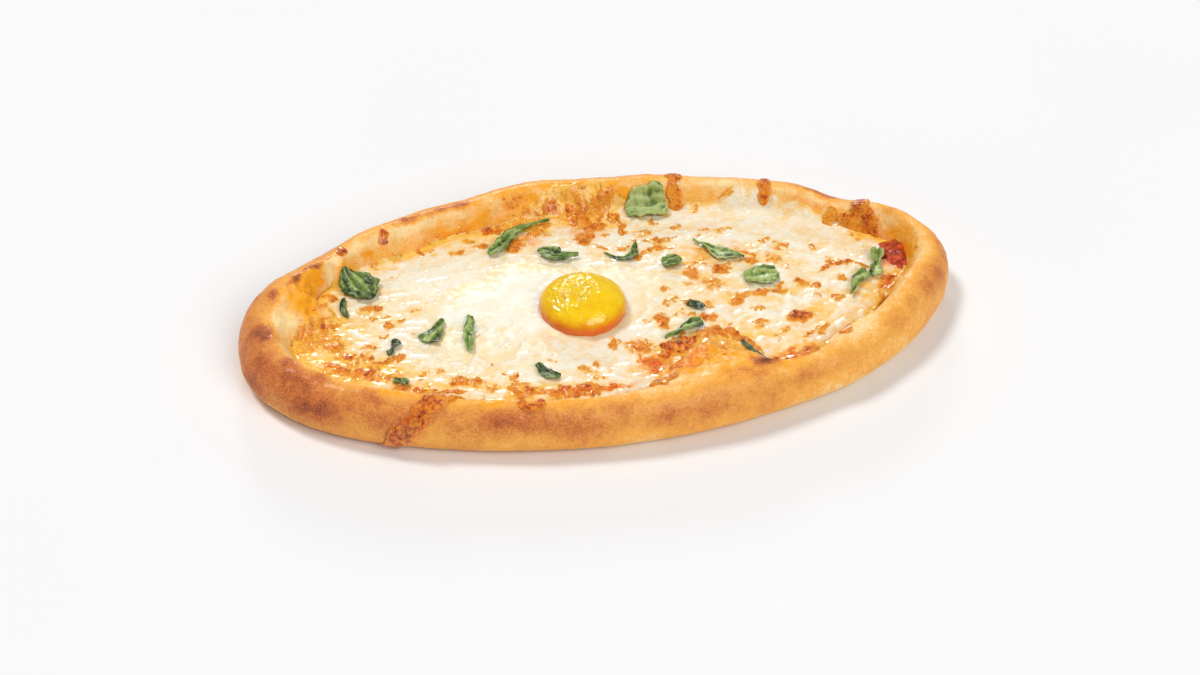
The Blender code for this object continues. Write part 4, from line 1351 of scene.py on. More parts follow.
class Plan:
    """A regular grid of points over the filling, seen from above, with the dough's height beneath it."""

    def __init__(self, step):
        self.step = step
        self.x, self.y = np.meshgrid(np.arange(*PLAN_X, step), np.arange(*PLAN_Y, step))
        self.flat = np.stack([self.x, self.y, np.zeros(self.x.shape)], -1)
        self.dough = heights_at(tree_of(bpy.data.objects["crust"]), self.x, self.y)
        self.find_border()

    def find_border(self):
        """How far each point lies inside the border of the cheese."""
        degrees = np.linspace(0, 360, 2881)[:-1]
        share = (around(degrees, "border") - around(degrees, "outer")) / around(degrees, "inner")
        share = np.clip(share, 0.04, 0.93)
        inward = around(degrees, "outer") + around(degrees, "inner") * share
        edge_x = around(degrees, "x") - inward * around(degrees, "out_x")
        edge_y = around(degrees, "y") - inward * around(degrees, "out_y")
        self.inside = self.signed_distance(edge_x, edge_y)
        crest_x = around(degrees, "x") - around(degrees, "outer") * around(degrees, "out_x")
        crest_y = around(degrees, "y") - around(degrees, "outer") * around(degrees, "out_y")
        self.inside_crest = self.signed_distance(crest_x, crest_y)

    def signed_distance(self, edge_x, edge_y):
        """Distance in from a closed line, found row of the grid by row, and below 0 outside it."""
        line = np.stack([edge_x, edge_y, np.zeros(len(edge_x))], -1)
        count = len(line)
        lower, upper = line - (0, 0, MM), line + (0, 0, MM)
        quads = [(i, (i + 1) % count, count + (i + 1) % count, count + i) for i in range(count)]
        wall = BVHTree.FromPolygons(np.concatenate([lower, upper]).tolist(), quads)
        points = zip(self.x.ravel(), self.y.ravel())
        away = np.array([wall.find_nearest(Vector((x, y, 0)))[3] for x, y in points]).reshape(self.x.shape)
        crossings = np.zeros(self.x.shape, int)
        for i in range(count):
            (ax, ay), (bx, by) = line[i, :2], line[(i + 1) % count, :2]
            rows = np.nonzero((self.y[:, 0] > min(ay, by)) & (self.y[:, 0] <= max(ay, by)))[0]
            for row in rows:
                cross = ax + (self.y[row, 0] - ay) / (by - ay) * (bx - ax)
                crossings[row] += self.x[row] > cross
        return np.where(crossings % 2 == 1, away, -away)

    def window(self, x, y, reach):
        """The part of the grid round a point, as two slices."""
        column, row = (x - self.x[0, 0]) / self.step, (y - self.y[0, 0]) / self.step
        cells = reach / self.step
        rows = slice(max(0, int(row - cells)), max(0, int(row + cells) + 2))
        return rows, slice(max(0, int(column - cells)), max(0, int(column + cells) + 2))


def fields(x, y, table, warp_x, warp_y):
    """Soft turned ovals from a table in mm, the strongest at each point."""
    total = np.zeros(x.shape)
    for cx, cy, half_x, half_y, turn, strength in table:
        cos, sin = math.cos(math.radians(turn)), math.sin(math.radians(turn))
        dx, dy = x + warp_x - cx * MM, y + warp_y - cy * MM
        u, v = (dx * cos + dy * sin) / (half_x * MM), (dy * cos - dx * sin) / (half_y * MM)
        total = np.maximum(total, strength * np.exp(-((u * u + v * v) ** 1.2)))
    return total


def slow_noise(x, y, size_x, size_y, seed):
    """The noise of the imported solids, with bumps of these sizes in metres."""
    points = zip(x.ravel() / size_x, y.ravel() / size_y, [seed] * x.size)
    return np.array([noise.noise(Vector(point)) for point in points]).reshape(x.shape)


def in_white(x, y):
    """How far along and across the egg white each point lies, in its half sizes."""
    return (x - WHITE_CENTRE[0]) / WHITE_HALF_SIZE[0], (y - WHITE_CENTRE[1]) / WHITE_HALF_SIZE[1]


def cheese_level(x, y):
    """Top of the bed: a slight mound with slow waves, and with lumps where no egg ran over it."""
    wave, lump = slow_noise(x, y, 0.022, 0.022, 3.1), slow_noise(x, y, 0.009, 0.008, 7.4)
    mound = np.exp(-((x / CHEESE_MOUND[0]) ** 2) - (y / CHEESE_MOUND[1]) ** 2)
    along, across = in_white(x, y)
    bare = np.clip(4 * (np.hypot(along, across) - 1.1), 0, 1)
    return CHEESE_LEVEL + CHEESE_SWELL * (0.6 * wave + mound) + CHEESE_LUMPS * lump * bare


def white_share(x, y):
    """Distance from the middle of the egg white, which ends at 1."""
    along, across = in_white(x, y)
    angle = np.arctan2(across, along)
    reach = 1 + 0.16 * np.sin(2 * angle + 0.6) + 0.10 * np.sin(3 * angle + 2.2) + 0.06 * np.sin(5 * angle)
    return np.hypot(along, across) / reach


def soft_flows(plan, count, width, seed):
    """Soft ridges laid across each other, left by the shreds that melted into the bed."""
    dice = np.random.default_rng(seed)
    height = np.zeros(plan.x.shape)
    for _ in range(count):
        x, y = dice.uniform(-140, 142) * MM, dice.uniform(-74, 76) * MM
        heading, bend = dice.uniform(-0.9, 1.1), dice.normal(0, 0.5)
        reach, radius = dice.uniform(5, 14) * MM, width / 2 * dice.uniform(0.5, 1.4)
        turns = heading + bend * np.linspace(-1, 1, 7)
        steps = np.stack([np.cos(turns), np.sin(turns)], -1) * reach / 3
        path = np.cumsum(steps, 0) - steps.sum(0) / 2 + (x, y)
        window = plan.window(x, y, reach + 2 * MM)
        if height[window].size == 0:
            continue
        away, along = distance_to_path(plan.x[window], plan.y[window], path)
        thin = radius * np.sqrt(np.clip(1 - (2 * along - 1) ** 4, 0.15, 1))
        bump = np.sqrt(np.clip(1 - (away / thin) ** 2, 0, 1)) * thin / width * 2
        height[window] = np.where(bump > 0, 0.5 * height[window] + bump, height[window])
    return np.minimum(softened(height, 1), 1.6) / 1.6


def spots_of_cheese(plan, settings):
    """The blisters, and clusters of golden freckles where no egg calms the cheese.

    Each has x, y, two half sizes, how dark it is and how far it rises.
    """
    dice = np.random.default_rng(29)
    spots = [(x * MM, y * MM, a * MM, b * MM, dark, 1.0) for x, y, a, b, dark in BLISTERS]
    for _ in range(settings.freckles):
        x, y = dice.uniform(-136, 136) * MM, dice.uniform(-66, 70) * MM
        crowd = float(layered(np.array([[x, y, 0.0]]), 22 * MM, 41)[0])
        rows, columns = plan.window(x, y, 0)
        if plan.calm[rows, columns].mean() > 0.3 or crowd < dice.uniform(-0.7, 0.4):
            continue
        dark, heading = dice.uniform(0.22, 0.5), dice.uniform(0, math.pi)
        for step in range(dice.integers(1, 6)):
            size = dice.uniform(0.7, 1.7) * MM
            away = (step * dice.uniform(1.0, 2.0)) * MM
            turn = heading + dice.normal(0, 0.5)
            spots.append((x + away * math.cos(turn), y + away * math.sin(turn), size, size, dark, 0.5))
    return spots


def blister_relief(plan, settings, warp_x, warp_y):
    """Height of the blisters, freckles and crisp edges, and how dark they are."""
    height, toast = np.zeros(plan.x.shape), np.zeros(plan.x.shape)
    bubbly = 1.6 * bubbled(plan.flat, 2.4 * MM, 43) - 0.8
    for x, y, half_x, half_y, dark, rise in spots_of_cheese(plan, settings):
        window = plan.window(x, y, 2.2 * max(half_x, half_y))
        dx, dy = plan.x[window] + warp_x[window] - x, plan.y[window] + warp_y[window] - y
        away = np.hypot(dx / half_x, dy / half_y)
        dome = np.clip(1 - away**2, 0, 1) ** 0.6 * (1 + 0.5 * bubbly[window])
        raised = rise * settings.blister * dome * min(1, half_x / (2.5 * MM))
        height[window] = np.maximum(height[window], raised)
        tint = dark * (0.84 + 0.5 * bubbly[window]) * smoothstep(1.7 - away, 0, 1.2)
        toast[window] = np.maximum(toast[window], tint)
    for width, rise, dark, path in CRISP_LINES:
        bend = min(1.6, 0.4 * width)
        line = smooth_path(path, 16) * MM
        away, along = distance_to_path(plan.x + bend * warp_x, plan.y + bend * warp_y, line)
        taper = np.sqrt(np.clip(1 - (2 * along - 1) ** 4, 0.1, 1))
        half = width / 2 * MM * taper * (1 + 0.25 * bend * bubbly)
        dome = np.clip(1 - (away / half) ** 2, 0, 1) ** 0.6 * (1 + 0.6 * bubbly)
        height = np.maximum(height, rise * MM * dome)
        toast = np.maximum(toast, dark * (0.9 + 0.6 * bubbly) * smoothstep(1.8 - away / half, 0, 1.1))
    return height, toast


def kept_sheet(plan, top, keep):
    """Vertices and faces of the sheet over the plan's kept points, and which points those are."""
    rows, columns = top.shape
    index = np.arange(rows * columns).reshape(rows, columns)
    corners = (index[:-1, :-1], index[:-1, 1:], index[1:, 1:], index[1:, :-1])
    quads = np.stack([c.ravel() for c in corners], 1)
    quads = quads[keep.ravel()[quads].all(1)]
    used, compact = np.unique(quads, return_inverse=True)
    vertices = np.stack([plan.x.ravel(), plan.y.ravel(), top.ravel()], -1)[used]
    return vertices, compact.reshape(-1, 4), used


def fill_beneath(piece, bottom):
    """Closes a sheet: its edges go down to the bottom and are filled there."""
    work = bmesh.new()
    work.from_mesh(piece.data)
    loose = [v for v in work.verts if not v.link_faces]
    bmesh.ops.delete(work, geom=loose, context="VERTS")
    # Corners that only touch are cut away, and once more where that leaves new ones
    for _ in range(2):
        pinched = [v for v in work.verts if sum(e.is_boundary for e in v.link_edges) > 2]
        bmesh.ops.delete(work, geom=pinched, context="VERTS")
    edges = [e for e in work.edges if e.is_boundary]
    # Made edge by edge, because Blender's extrusion puts its faces in another order each run, and the
    # scattered pieces depend on that order
    lowered = {}
    for vertex in (v for edge in edges for v in edge.verts):
        if vertex not in lowered:
            lowered[vertex] = work.verts.new((vertex.co.x, vertex.co.y, bottom), vertex)
    for start, end in [edge.verts for edge in edges]:
        work.faces.new((start, end, lowered[end], lowered[start]))
    rim = [e for e in work.edges if e.is_boundary]
    bmesh.ops.holes_fill(work, edges=rim, sides=0)
    bmesh.ops.recalc_face_normals(work, faces=work.faces)
    for face in work.faces:
        face.smooth = True
    work.to_mesh(piece.data)
    work.free()


class CheeseBed:
    """Top of the cheese over the plan, with how oily, browned and reddened it is."""

    def __init__(self, plan, settings):
        self.plan = plan
        warp_x, warp_y = (layered(plan.flat, 3.2 * MM, seed) * 2.6 * MM for seed in (51, 52))
        ragged = plan.inside + 3.4 * MM * layered(plan.flat, 11 * MM, 61, 2)
        ragged = ragged + 0.6 * MM * rough(plan.flat, 4 * MM, 62)
        ragged = ragged + MM * fields(plan.x, plan.y, CREEP_FIELDS, warp_x, warp_y)
        beneath_egg = 1 - smoothstep(white_share(plan.x, plan.y), 0.85, 1.3)
        self.lively = fields(plan.x, plan.y, LIVELY_FIELDS, warp_x, warp_y)
        calm = np.maximum(0.6 * beneath_egg, fields(plan.x, plan.y, CALM_FIELDS, 0, 0))
        calm = calm * (1 - 0.8 * self.lively)
        plan.calm = calm
        self.ragged = ragged
        flows = 0.6 * soft_flows(plan, settings.flows, settings.width, 17)
        flows += 0.4 * soft_flows(plan, settings.flows, settings.width / 2, 18)
        blister, toast = blister_relief(plan, settings, warp_x, warp_y)
        relief = settings.height * (flows - 0.5) + 0.45 * MM * layered(plan.flat, 9 * MM, 63)
        relief = (relief + 0.2 * MM * rough(plan.flat, 2.6 * MM, 64)) * (1 - 0.7 * calm)
        level = cheese_level(plan.x, plan.y) + relief
        lacy = 1 + 0.5 * layered(plan.flat, 4 * MM, 65)
        coat = CHEESE_COAT * (1.2 * lacy * smoothstep(ragged, -2 * MM, 8 * MM) - 0.2)
        on_wall = plan.dough + coat + 0.6 * relief * smoothstep(ragged, 0, 3 * MM)
        blend_zone = np.maximum(FEATHER - np.abs(on_wall - level), 0) / FEATHER
        top = np.maximum(on_wall, level) + blend_zone**2 * FEATHER / 4
        top = np.where(plan.inside_crest > 4 * MM, top, on_wall)
        self.top = top + blister * (1 - 0.7 * calm) * smoothstep(ragged, 0, 1.5 * MM)
        self.keep = (self.top > plan.dough - 0.7 * MM) & (plan.inside_crest > 0.5 * MM) & (ragged > -2.5 * MM)
        self.find_masks(flows, toast, warp_x, warp_y)

    def find_masks(self, flows, toast, warp_x, warp_y):
        """How oily, browned and reddened the cheese is, and where bubbles fried on it."""
        plan, calm = self.plan, self.plan.calm
        cloud, patchy = layered(plan.flat, 18 * MM, 71), layered(plan.flat, 7 * MM, 72)
        gold = fields(plan.x, plan.y, GOLDEN_FIELDS, 2 * warp_x, 2 * warp_y)
        border = smoothstep(9 * MM - self.ragged, 0, 9 * MM)
        thin = smoothstep(3.0 * MM - (self.top - plan.dough), 0, 2.4 * MM)
        right = smoothstep(plan.x, 0, 60 * MM)
        left = smoothstep(-plan.x, 70 * MM, 110 * MM)
        oil = 0.08 + 0.12 * left + (0.34 + 0.08 * right) * smoothstep(cloud + 0.7 * patchy, 0.0, 0.9)
        oil += 0.95 * gold * (0.85 + 0.5 * patchy) + 0.45 * border * (0.8 + patchy) + 0.2 * thin
        # More golden between the soft ridges: partly oil lying in the hollows, partly painted shade between
        # the strands
        oil -= 0.9 * (flows - 0.38)
        oil = np.maximum(oil * (1 - 0.85 * calm), smoothstep(3.5 * MM - self.ragged, 0, 3.5 * MM))
        oil *= 1 - fields(plan.x, plan.y, MILKY_FIELDS, 2 * warp_x, 2 * warp_y)
        self.oil = np.clip(oil + 0.9 * softened(toast, 2), 0, 1)
        golden_spots = 0.5 * smoothstep(patchy + 0.5 * rough(plan.flat, 2.4 * MM, 73), 0.2, 0.75)
        golden_spots = (golden_spots + 0.1 + 0.14 * gold) * smoothstep(gold + 0.5 * border, 0.4, 1.0)
        self.toast = np.clip(np.maximum(toast * (1 - 0.3 * calm), golden_spots), 0, 1)
        pink = 0.12 * right * smoothstep(cloud - patchy, 0.2, 0.8) * (1 - calm)
        sauce = np.maximum(fields(plan.x, plan.y, RED_FIELDS, 2 * warp_x, 2 * warp_y) * (0.8 + patchy), pink)
        self.sauce = np.clip(sauce, 0, 1)
        self.oil = np.maximum(self.oil, self.sauce)
        crisp = 0.8 * smoothstep(self.toast, 0.34, 0.6) + 0.2 * gold * (patchy > 0.1)
        self.room = np.clip(crisp * smoothstep(self.ragged, 0, 3 * MM), 0, 1)


class PEINIRLI_OT_cheese(bpy.types.Operator):
    """Make the bed of melted cheese"""

    bl_idname = "peinirli.cheese"
    bl_label = "Cheese"

    def execute(self, context):
        settings = context.scene.peinirli_cheese
        plan = Plan(PLAN_STEP)
        bed = CheeseBed(plan, settings)
        KEPT["bed"] = bed
        vertices, faces, used = kept_sheet(plan, bed.top, bed.keep)
        masks = {key: getattr(bed, key).ravel()[used] for key in ("oil", "toast", "sauce", "room")}
        cheese = new_piece("cheese_bed", vertices, faces, masks)
        fill_beneath(cheese, CHEESE_BOTTOM)
        material = cheese_material(settings, context.scene.peinirli_sauce, "melted_cheese")
        dress(cheese, material, "cheese", "cheese")
        return {"FINISHED"}


def beside(degrees, place, offset):
    """The angles and places reached by going short ways, offset, along the skin."""
    by_angle, by_place, _ = skin_frame(degrees, place)
    aa, ap, pp = (by_angle**2).sum(-1), (by_angle * by_place).sum(-1), (by_place**2).sum(-1)
    oa, op = (offset * by_angle).sum(-1), (offset * by_place).sum(-1)
    det = aa * pp - ap * ap
    return degrees + (oa * pp - op * ap) / det, place + (op * aa - oa * ap) / det


def run_of_cheese(number, width, thickness, dark, path):
    """Vertices, faces and browning of a lumpy tongue of cheese that lies along the skin."""
    along, across = RUN_STEPS
    line = smooth_path(path, along)
    degrees, place = line[:, :1], line[:, 1:]
    centre = skin(degrees, place)[:, 0]
    side = np.cross(np.gradient(centre, axis=0), skin_frame(degrees, place)[2][:, 0])
    side /= np.linalg.norm(side, axis=-1, keepdims=True)
    u, v = np.linspace(0, 1, along + 1)[:, None], np.linspace(-1, 1, across)[None, :]
    blunt = 2 + np.linalg.norm(centre[-1] - centre[0]) / width
    taper = 0.04 + 0.96 * np.sqrt(np.clip(1 - np.abs(2 * u - 1) ** blunt, 0, 1))
    both_sides = centre[:, None] + np.sign(v)[..., None] * 20 * MM
    ragged = 1 + 0.5 * layered(both_sides, 5 * MM, number) + 0.4 * rough(both_sides, 1.6 * MM, number)
    offset = side[:, None, :] * (v * width / 2 * taper * ragged)[..., None]
    beneath = beside(degrees + 0 * v, place + 0 * v, offset)
    out = skin_frame(*beneath)[2]
    base = skin(*beneath) + out * relief_at(*beneath)[..., None]
    bubbles = bubbled(base, 2.6 * MM, number)
    lump = 0.5 + 0.8 * bubbles + 0.4 * bubbled(base, 1.2 * MM, 3) + 0.7 * layered(base, 6 * MM, number + 3)
    rise = thickness * taper * np.maximum(lump, 0.1) * (1 - v * v) ** 0.6 - 0.2 * MM
    top, under = base + out * rise[..., None], base - out * RUN_SUNK
    toast = 1.1 * dark * (1 - 0.25 * np.abs(v) ** 3) * (0.85 + 0.25 * u)
    toast = toast + 0.3 * layered(base, 4 * MM, number + 6)
    # Painted shade: darker in the hollows between the bubbles, lighter on their tops
    toast = toast + 0.3 * (0.5 - bubbles) + 0.12 * rough(base, 1.2 * MM, 5)
    rings = np.concatenate([top, under[:, ::-1]], axis=1).reshape(-1, 3)
    toast = np.clip(np.concatenate([toast, toast[:, ::-1]], axis=1), 0.34, 0.8).ravel()
    count = 2 * across
    faces = ring_quads(along + 1, count).tolist()
    faces += [list(range(count)), list(reversed(range(along * count, (along + 1) * count)))]
    return rings.tolist(), faces, toast.tolist()


def make_runs(name, table, material):
    """One piece of several runs."""
    vertices, faces, toast = [], [], []
    for number, (width, thickness, dark, path) in enumerate(table):
        rings, quads, shades = run_of_cheese(number, width, thickness, dark, path)
        faces += [[len(vertices) + v for v in quad] for quad in quads]
        vertices += rings
        toast += shades
    none = np.zeros(len(vertices))
    piece = new_piece(name, np.array(vertices), faces, {"toast": toast, "oil": none + 0.9, "sauce": none})
    point_outwards(piece)
    dress(piece, material, "cheese")


class PEINIRLI_OT_runs(bpy.types.Operator):
    """Make the cheese that ran over the rim and browned there"""

    bl_idname = "peinirli.runs"
    bl_label = "Cheese on the rim"

    def execute(self, context):
        settings, sauce = context.scene.peinirli_cheese, context.scene.peinirli_sauce
        material = cheese_material(settings, sauce, "browned_cheese")
        make_runs("cheese_runs", RUNS, material)
        make_runs("cheese_crumbs", CRUMBS, material)
        return {"FINISHED"}


# The egg and the sauce


class PEINIRLI_OT_egg_white(bpy.types.Operator):
    """Make the egg white that set over the cheese"""

    bl_idname = "peinirli.egg_white"
    bl_label = "Egg white"

    def execute(self, context):
        settings = context.scene.peinirli_egg
        bed = KEPT["bed"]
        plan = bed.plan
        share = white_share(plan.x, plan.y)
        dx, dy = plan.x - YOLK_CENTRE[0], plan.y - YOLK_CENTRE[1]
        from_yolk, turn = np.hypot(dx, dy), np.arctan2(dy, dx)
        flow = np.stack([from_yolk / 3, 9 * MM * np.cos(turn), 9 * MM * np.sin(turn)], -1)
        ripple = layered(flow, 3 * MM, 81) + 0.8 * layered(plan.flat, 7 * MM, 82)
        ragged = share + 0.16 * layered(plan.flat, 9 * MM, 83) + 0.08 * rough(plan.flat, 3 * MM, 84)
        thickness = settings.thickness * (1 - 1.4 * smoothstep(ragged, 0.5, 1.25))
        thickness += settings.ripple * ripple * smoothstep(1.3 - share, 0, 0.5)
        thickness += 0.9 * MM * np.exp(-(((from_yolk - YOLK_RADIUS) / (3 * MM)) ** 2))
        lively, calm = bed.lively, plan.calm
        bare = smoothstep(layered(plan.flat, 8 * MM, 87) + 0.5 * rough(plan.flat, 2.6 * MM, 88), -0.1, 0.35)
        thickness -= 1.9 * MM * lively * bare
        top = softened(bed.top, 3) * calm + bed.top * (1 - calm) + thickness * (1 - 0.4 * lively)
        keep = (share < 1.3) & (top > bed.top - 0.8 * MM) & (from_yolk > 0.7 * YOLK_RADIUS)
        vertices, faces, used = kept_sheet(plan, top, keep)
        thin = smoothstep(ragged, 0.55, 1.0) + 0.25 * layered(plan.flat, 12 * MM, 85)
        thin += 1.0 * lively * smoothstep(layered(plan.flat, 5 * MM, 86), -0.1, 0.5)
        white = new_piece("egg_white_sheet", vertices, faces, {"thin": np.clip(thin, 0, 1).ravel()[used]})
        fill_beneath(white, WHITE_BOTTOM)
        dress(white, white_material(settings), "egg_white", "egg_white")
        return {"FINISHED"}


class PEINIRLI_OT_yolk(bpy.types.Operator):
    """Make the yolk with its wrinkled skin"""

    bl_idname = "peinirli.yolk"
    bl_label = "Yolk"

    def execute(self, context):
        settings = context.scene.peinirli_egg
        x, y = YOLK_CENTRE
        level = float(cheese_level(np.array([x]), np.array([y]))[0])
        count, rings = YOLK_STEPS
        turns = np.arange(count) / count * 2 * math.pi
        up = 0.62 * math.pi * np.arange(1, rings + 1) / rings
        ring, turn = np.meshgrid(up, turns, indexing="ij")
        radius = YOLK_RADIUS * np.sin(ring) ** 0.85
        height = level + YOLK_WAIST + (YOLK_HEIGHT - YOLK_WAIST) * np.cos(ring)
        points = np.stack([x + radius * np.cos(turn), y + radius * np.sin(turn), height], -1)
        points = np.concatenate([[[x, y, level + YOLK_HEIGHT]], points.reshape(-1, 3)])
        centre = np.array((x, y, level - 4 * MM))
        out = points - centre
        out /= np.linalg.norm(out, axis=-1, keepdims=True)
        to_wrinkles = np.hypot(points[:, 0] - x + 5 * MM, points[:, 1] - y + 1 * MM)
        wrinkled = np.exp(-((to_wrinkles / (11 * MM)) ** 2))
        creased = 1 - np.abs(layered(points, 3.0 * MM, 91)) * 3
        wrinkle = (0.2 + 0.8 * wrinkled) * creased + 0.6 * rough(points, 1.8 * MM, 92) * wrinkled
        wrinkle += 0.9 * layered(points, 12 * MM, 93)
        points += out * (settings.wrinkle * wrinkle)[:, None]
        faces = [[0, 1 + i, 1 + (i + 1) % count] for i in range(count)]
        faces += (ring_quads(rings, count) + 1).tolist()
        faces.append(list(reversed(range(len(points) - count, len(points)))))
        # Towards the foot the yolk gets its rim colour: partly its own deeper orange, partly painted shade on
        # its lower sides
        foot = 1 - smoothstep(points[:, 2], level + 2.5 * MM, level + 8.5 * MM)
        yolk = new_piece("egg_yolk_dome", points, faces, {"foot": foot, "wrinkled": wrinkled})
        point_outwards(yolk)
        dress(yolk, yolk_material(settings), "egg_yolk", "egg_yolk")
        return {"FINISHED"}


class PEINIRLI_OT_sauce(bpy.types.Operator):
    """Make the tomato sauce that shows at the tip"""

    bl_idname = "peinirli.sauce"
    bl_label = "Sauce"

    def execute(self, context):
        settings = context.scene.peinirli_sauce
        count, rings = SAUCE_STEPS
        rows, turns = np.linspace(0, math.pi, rings + 1)[1:-1], np.arange(count) / count * 2 * math.pi
        ring, turn = np.meshgrid(rows, turns, indexing="ij")
        ball = np.stack([np.sin(ring) * np.cos(turn), np.sin(ring) * np.sin(turn), np.cos(ring)], -1)
        ball = np.concatenate([[[0, 0, 1]], ball.reshape(-1, 3), [[0, 0, -1]]])
        lumps = 0.92 + 0.3 * layered(ball, 0.8, 101) + 0.2 * bubbled(ball, 0.35, 102)
        points = np.array(SAUCE_CENTRE) + ball * np.array(SAUCE_HALF_SIZE) * lumps[:, None]
        last = len(points) - 1
        faces = [[0, 1 + i, 1 + (i + 1) % count] for i in range(count)]
        faces += (ring_quads(rings - 1, count) + 1).tolist()
        faces += [[last, last - count + (i + 1) % count, last - count + i] for i in range(count)]
        pool = new_piece("sauce_pool", points, faces)
        point_outwards(pool)
        dress(pool, sauce_material(settings), "sauce", "tomato_sauce")
        return {"FINISHED"}


# The leaves

OUTLINES = {
    "round": lambda u: np.sin(math.pi * (0.05 + 0.9 * u)) ** 0.6,
    "strip": lambda u: np.sin(math.pi * (0.04 + 0.9 * u)) ** 0.5,
    "taper": lambda u: np.sin(math.pi * (0.05 + 0.9 * u**0.6)) ** 1.4 + 0.12 * np.sin(math.pi * u) ** 0.3,
    "tadpole": lambda u: np.sin(math.pi * (0.05 + 0.9 * u**1.8)) ** 1.4 + 0.12 * np.sin(math.pi * u) ** 0.3,
    "wedge": lambda u: (0.08 + 0.92 * u) * np.sin(math.pi * (0.5 + 0.46 * u**6)) ** 0.7,
    "torn": lambda u: np.sin(math.pi * (0.04 + 0.9 * u)) ** 0.9 * (0.72 + 0.34 * np.sin(8 * u + 1)),
    "fan": lambda u: (0.85 + 0.15 * u) * np.sin(math.pi * (0.06 + 0.86 * u)) ** 0.35,
}


def leaf_piece(number, leaf, tree, settings):
    """A thin crumpled leaf that lies on what is beneath it."""
    name, path, width, folds, ridges, form, light = leaf
    along, across = LEAF_STEPS
    line = smooth_path(path, along) * MM
    tangent = np.gradient(line, axis=0)
    tangent /= np.linalg.norm(tangent, axis=-1, keepdims=True)
    side = np.stack([-tangent[:, 1], tangent[:, 0]], -1)
    u, v = np.meshgrid(np.linspace(0, 1, along + 1), np.linspace(-1, 1, across), indexing="ij")
    edge = np.stack([line[:, 0], line[:, 1], np.zeros(len(line))], -1)[:, None]
    ragged = 1 + 0.4 * layered(edge + np.sign(v)[..., None] * 0.05, 4.5 * MM, number)
    ragged = ragged + 0.18 * rough(edge + np.sign(v)[..., None] * 0.05, 1.7 * MM, number)
    half = width / 2 * MM * OUTLINES[form](u) * ragged
    xy = line[:, None, :] + side[:, None, :] * (half * v)[..., None]
    span = np.stack([xy[..., 0], xy[..., 1], np.zeros(u.shape)], -1)
    xy = xy + 0.5 * MM * np.stack([layered(span, 4 * MM, 7), layered(span, 4 * MM, 8)], -1)
    floor = heights_at(tree, xy[..., 0], xy[..., 1])
    broad = min(1, width / 8)
    corrugation = np.cos(math.pi * (ridges * v * (1 + 0.3 * u) + 1.5 * u + number))
    creased = 1 - 2 * np.abs(layered(span, 4.5 * MM, number + 5))
    cupped = v * v * (0.4 + 0.6 * np.sin(5 * u + number) ** 2)
    lift = folds * (0.8 * cupped + 0.45 * (1 + corrugation) * broad) * MM
    curled = 0.5 * (1 + np.sin(9 * u + 2 * v + number))
    lift = lift + settings.crumple * (0.6 * (1 + creased) * broad + curled)
    top = np.maximum(softened(floor, 2) + lift, floor + 0.1 * MM) + settings.thickness
    above = np.stack([xy[..., 0], xy[..., 1], top], -1).reshape(-1, 3)
    below = above - (0, 0, settings.thickness)
    rows, columns = u.shape
    index = np.arange(rows * columns).reshape(rows, columns)
    sheet = np.stack([index[:-1, :-1], index[1:, :-1], index[1:, 1:], index[:-1, 1:]], -1).reshape(-1, 4)
    rim = np.concatenate([index[0, :-1], index[:-1, -1], index[-1, :0:-1], index[:0:-1, 0]])
    after, size = np.roll(rim, -1), rows * columns
    sides = np.stack([rim, after, after + size, rim + size], -1)
    faces = np.concatenate([sheet, sheet[:, ::-1] + size, sides]).tolist()
    side_veins = smoothstep(np.abs(((u * 6 + np.abs(v)) % 1) - 0.5), 0.4, 0.5) * (width > 6)
    veins = np.exp(-((v / 0.1) ** 2)) + side_veins
    # Painted light and shade: lighter on the ridges and crumples that stand up, darker in the creases between
    # them, besides the veins and the leaf's own lightness
    leaf_tone_and_shade = light * 0.88 + 0.26 * corrugation * broad + 0.45 * creased - 0.3 + 0.22 * np.clip(veins, 0, 1)
    leaf_tone_and_shade = leaf_tone_and_shade + 0.4 * layered(span, 6 * MM, number + 2)
    burnt = smoothstep(np.abs(2 * u - 1) + 0.3 * layered(span, 3 * MM, number), 0.9, 1.1) * (number % 3 == 0)
    masks = {"leaf_tone_and_shade": leaf_tone_and_shade, "burnt": burnt}
    masks = {key: np.tile(np.clip(values, 0, 1).ravel(), 2) for key, values in masks.items()}
    piece = new_piece("baked_" + name, np.concatenate([above, below]), faces, masks)
    point_outwards(piece)
    return piece


class PEINIRLI_OT_leaves(bpy.types.Operator):
    """Make the torn leaves"""

    bl_idname = "peinirli.leaves"
    bl_label = "Leaves"

    def execute(self, context):
        settings = context.scene.peinirli_leaf
        material = leaf_material(settings)
        beneath = ("crust", "cheese_bed", "egg_white_sheet", "sauce_pool")
        tree = tree_of(*(bpy.data.objects[name] for name in beneath))
        for number, leaf in enumerate(LEAVES):
            dress(leaf_piece(number, leaf, tree, settings), material, "leaf", leaf[0])
        return {"FINISHED"}


# What is scattered


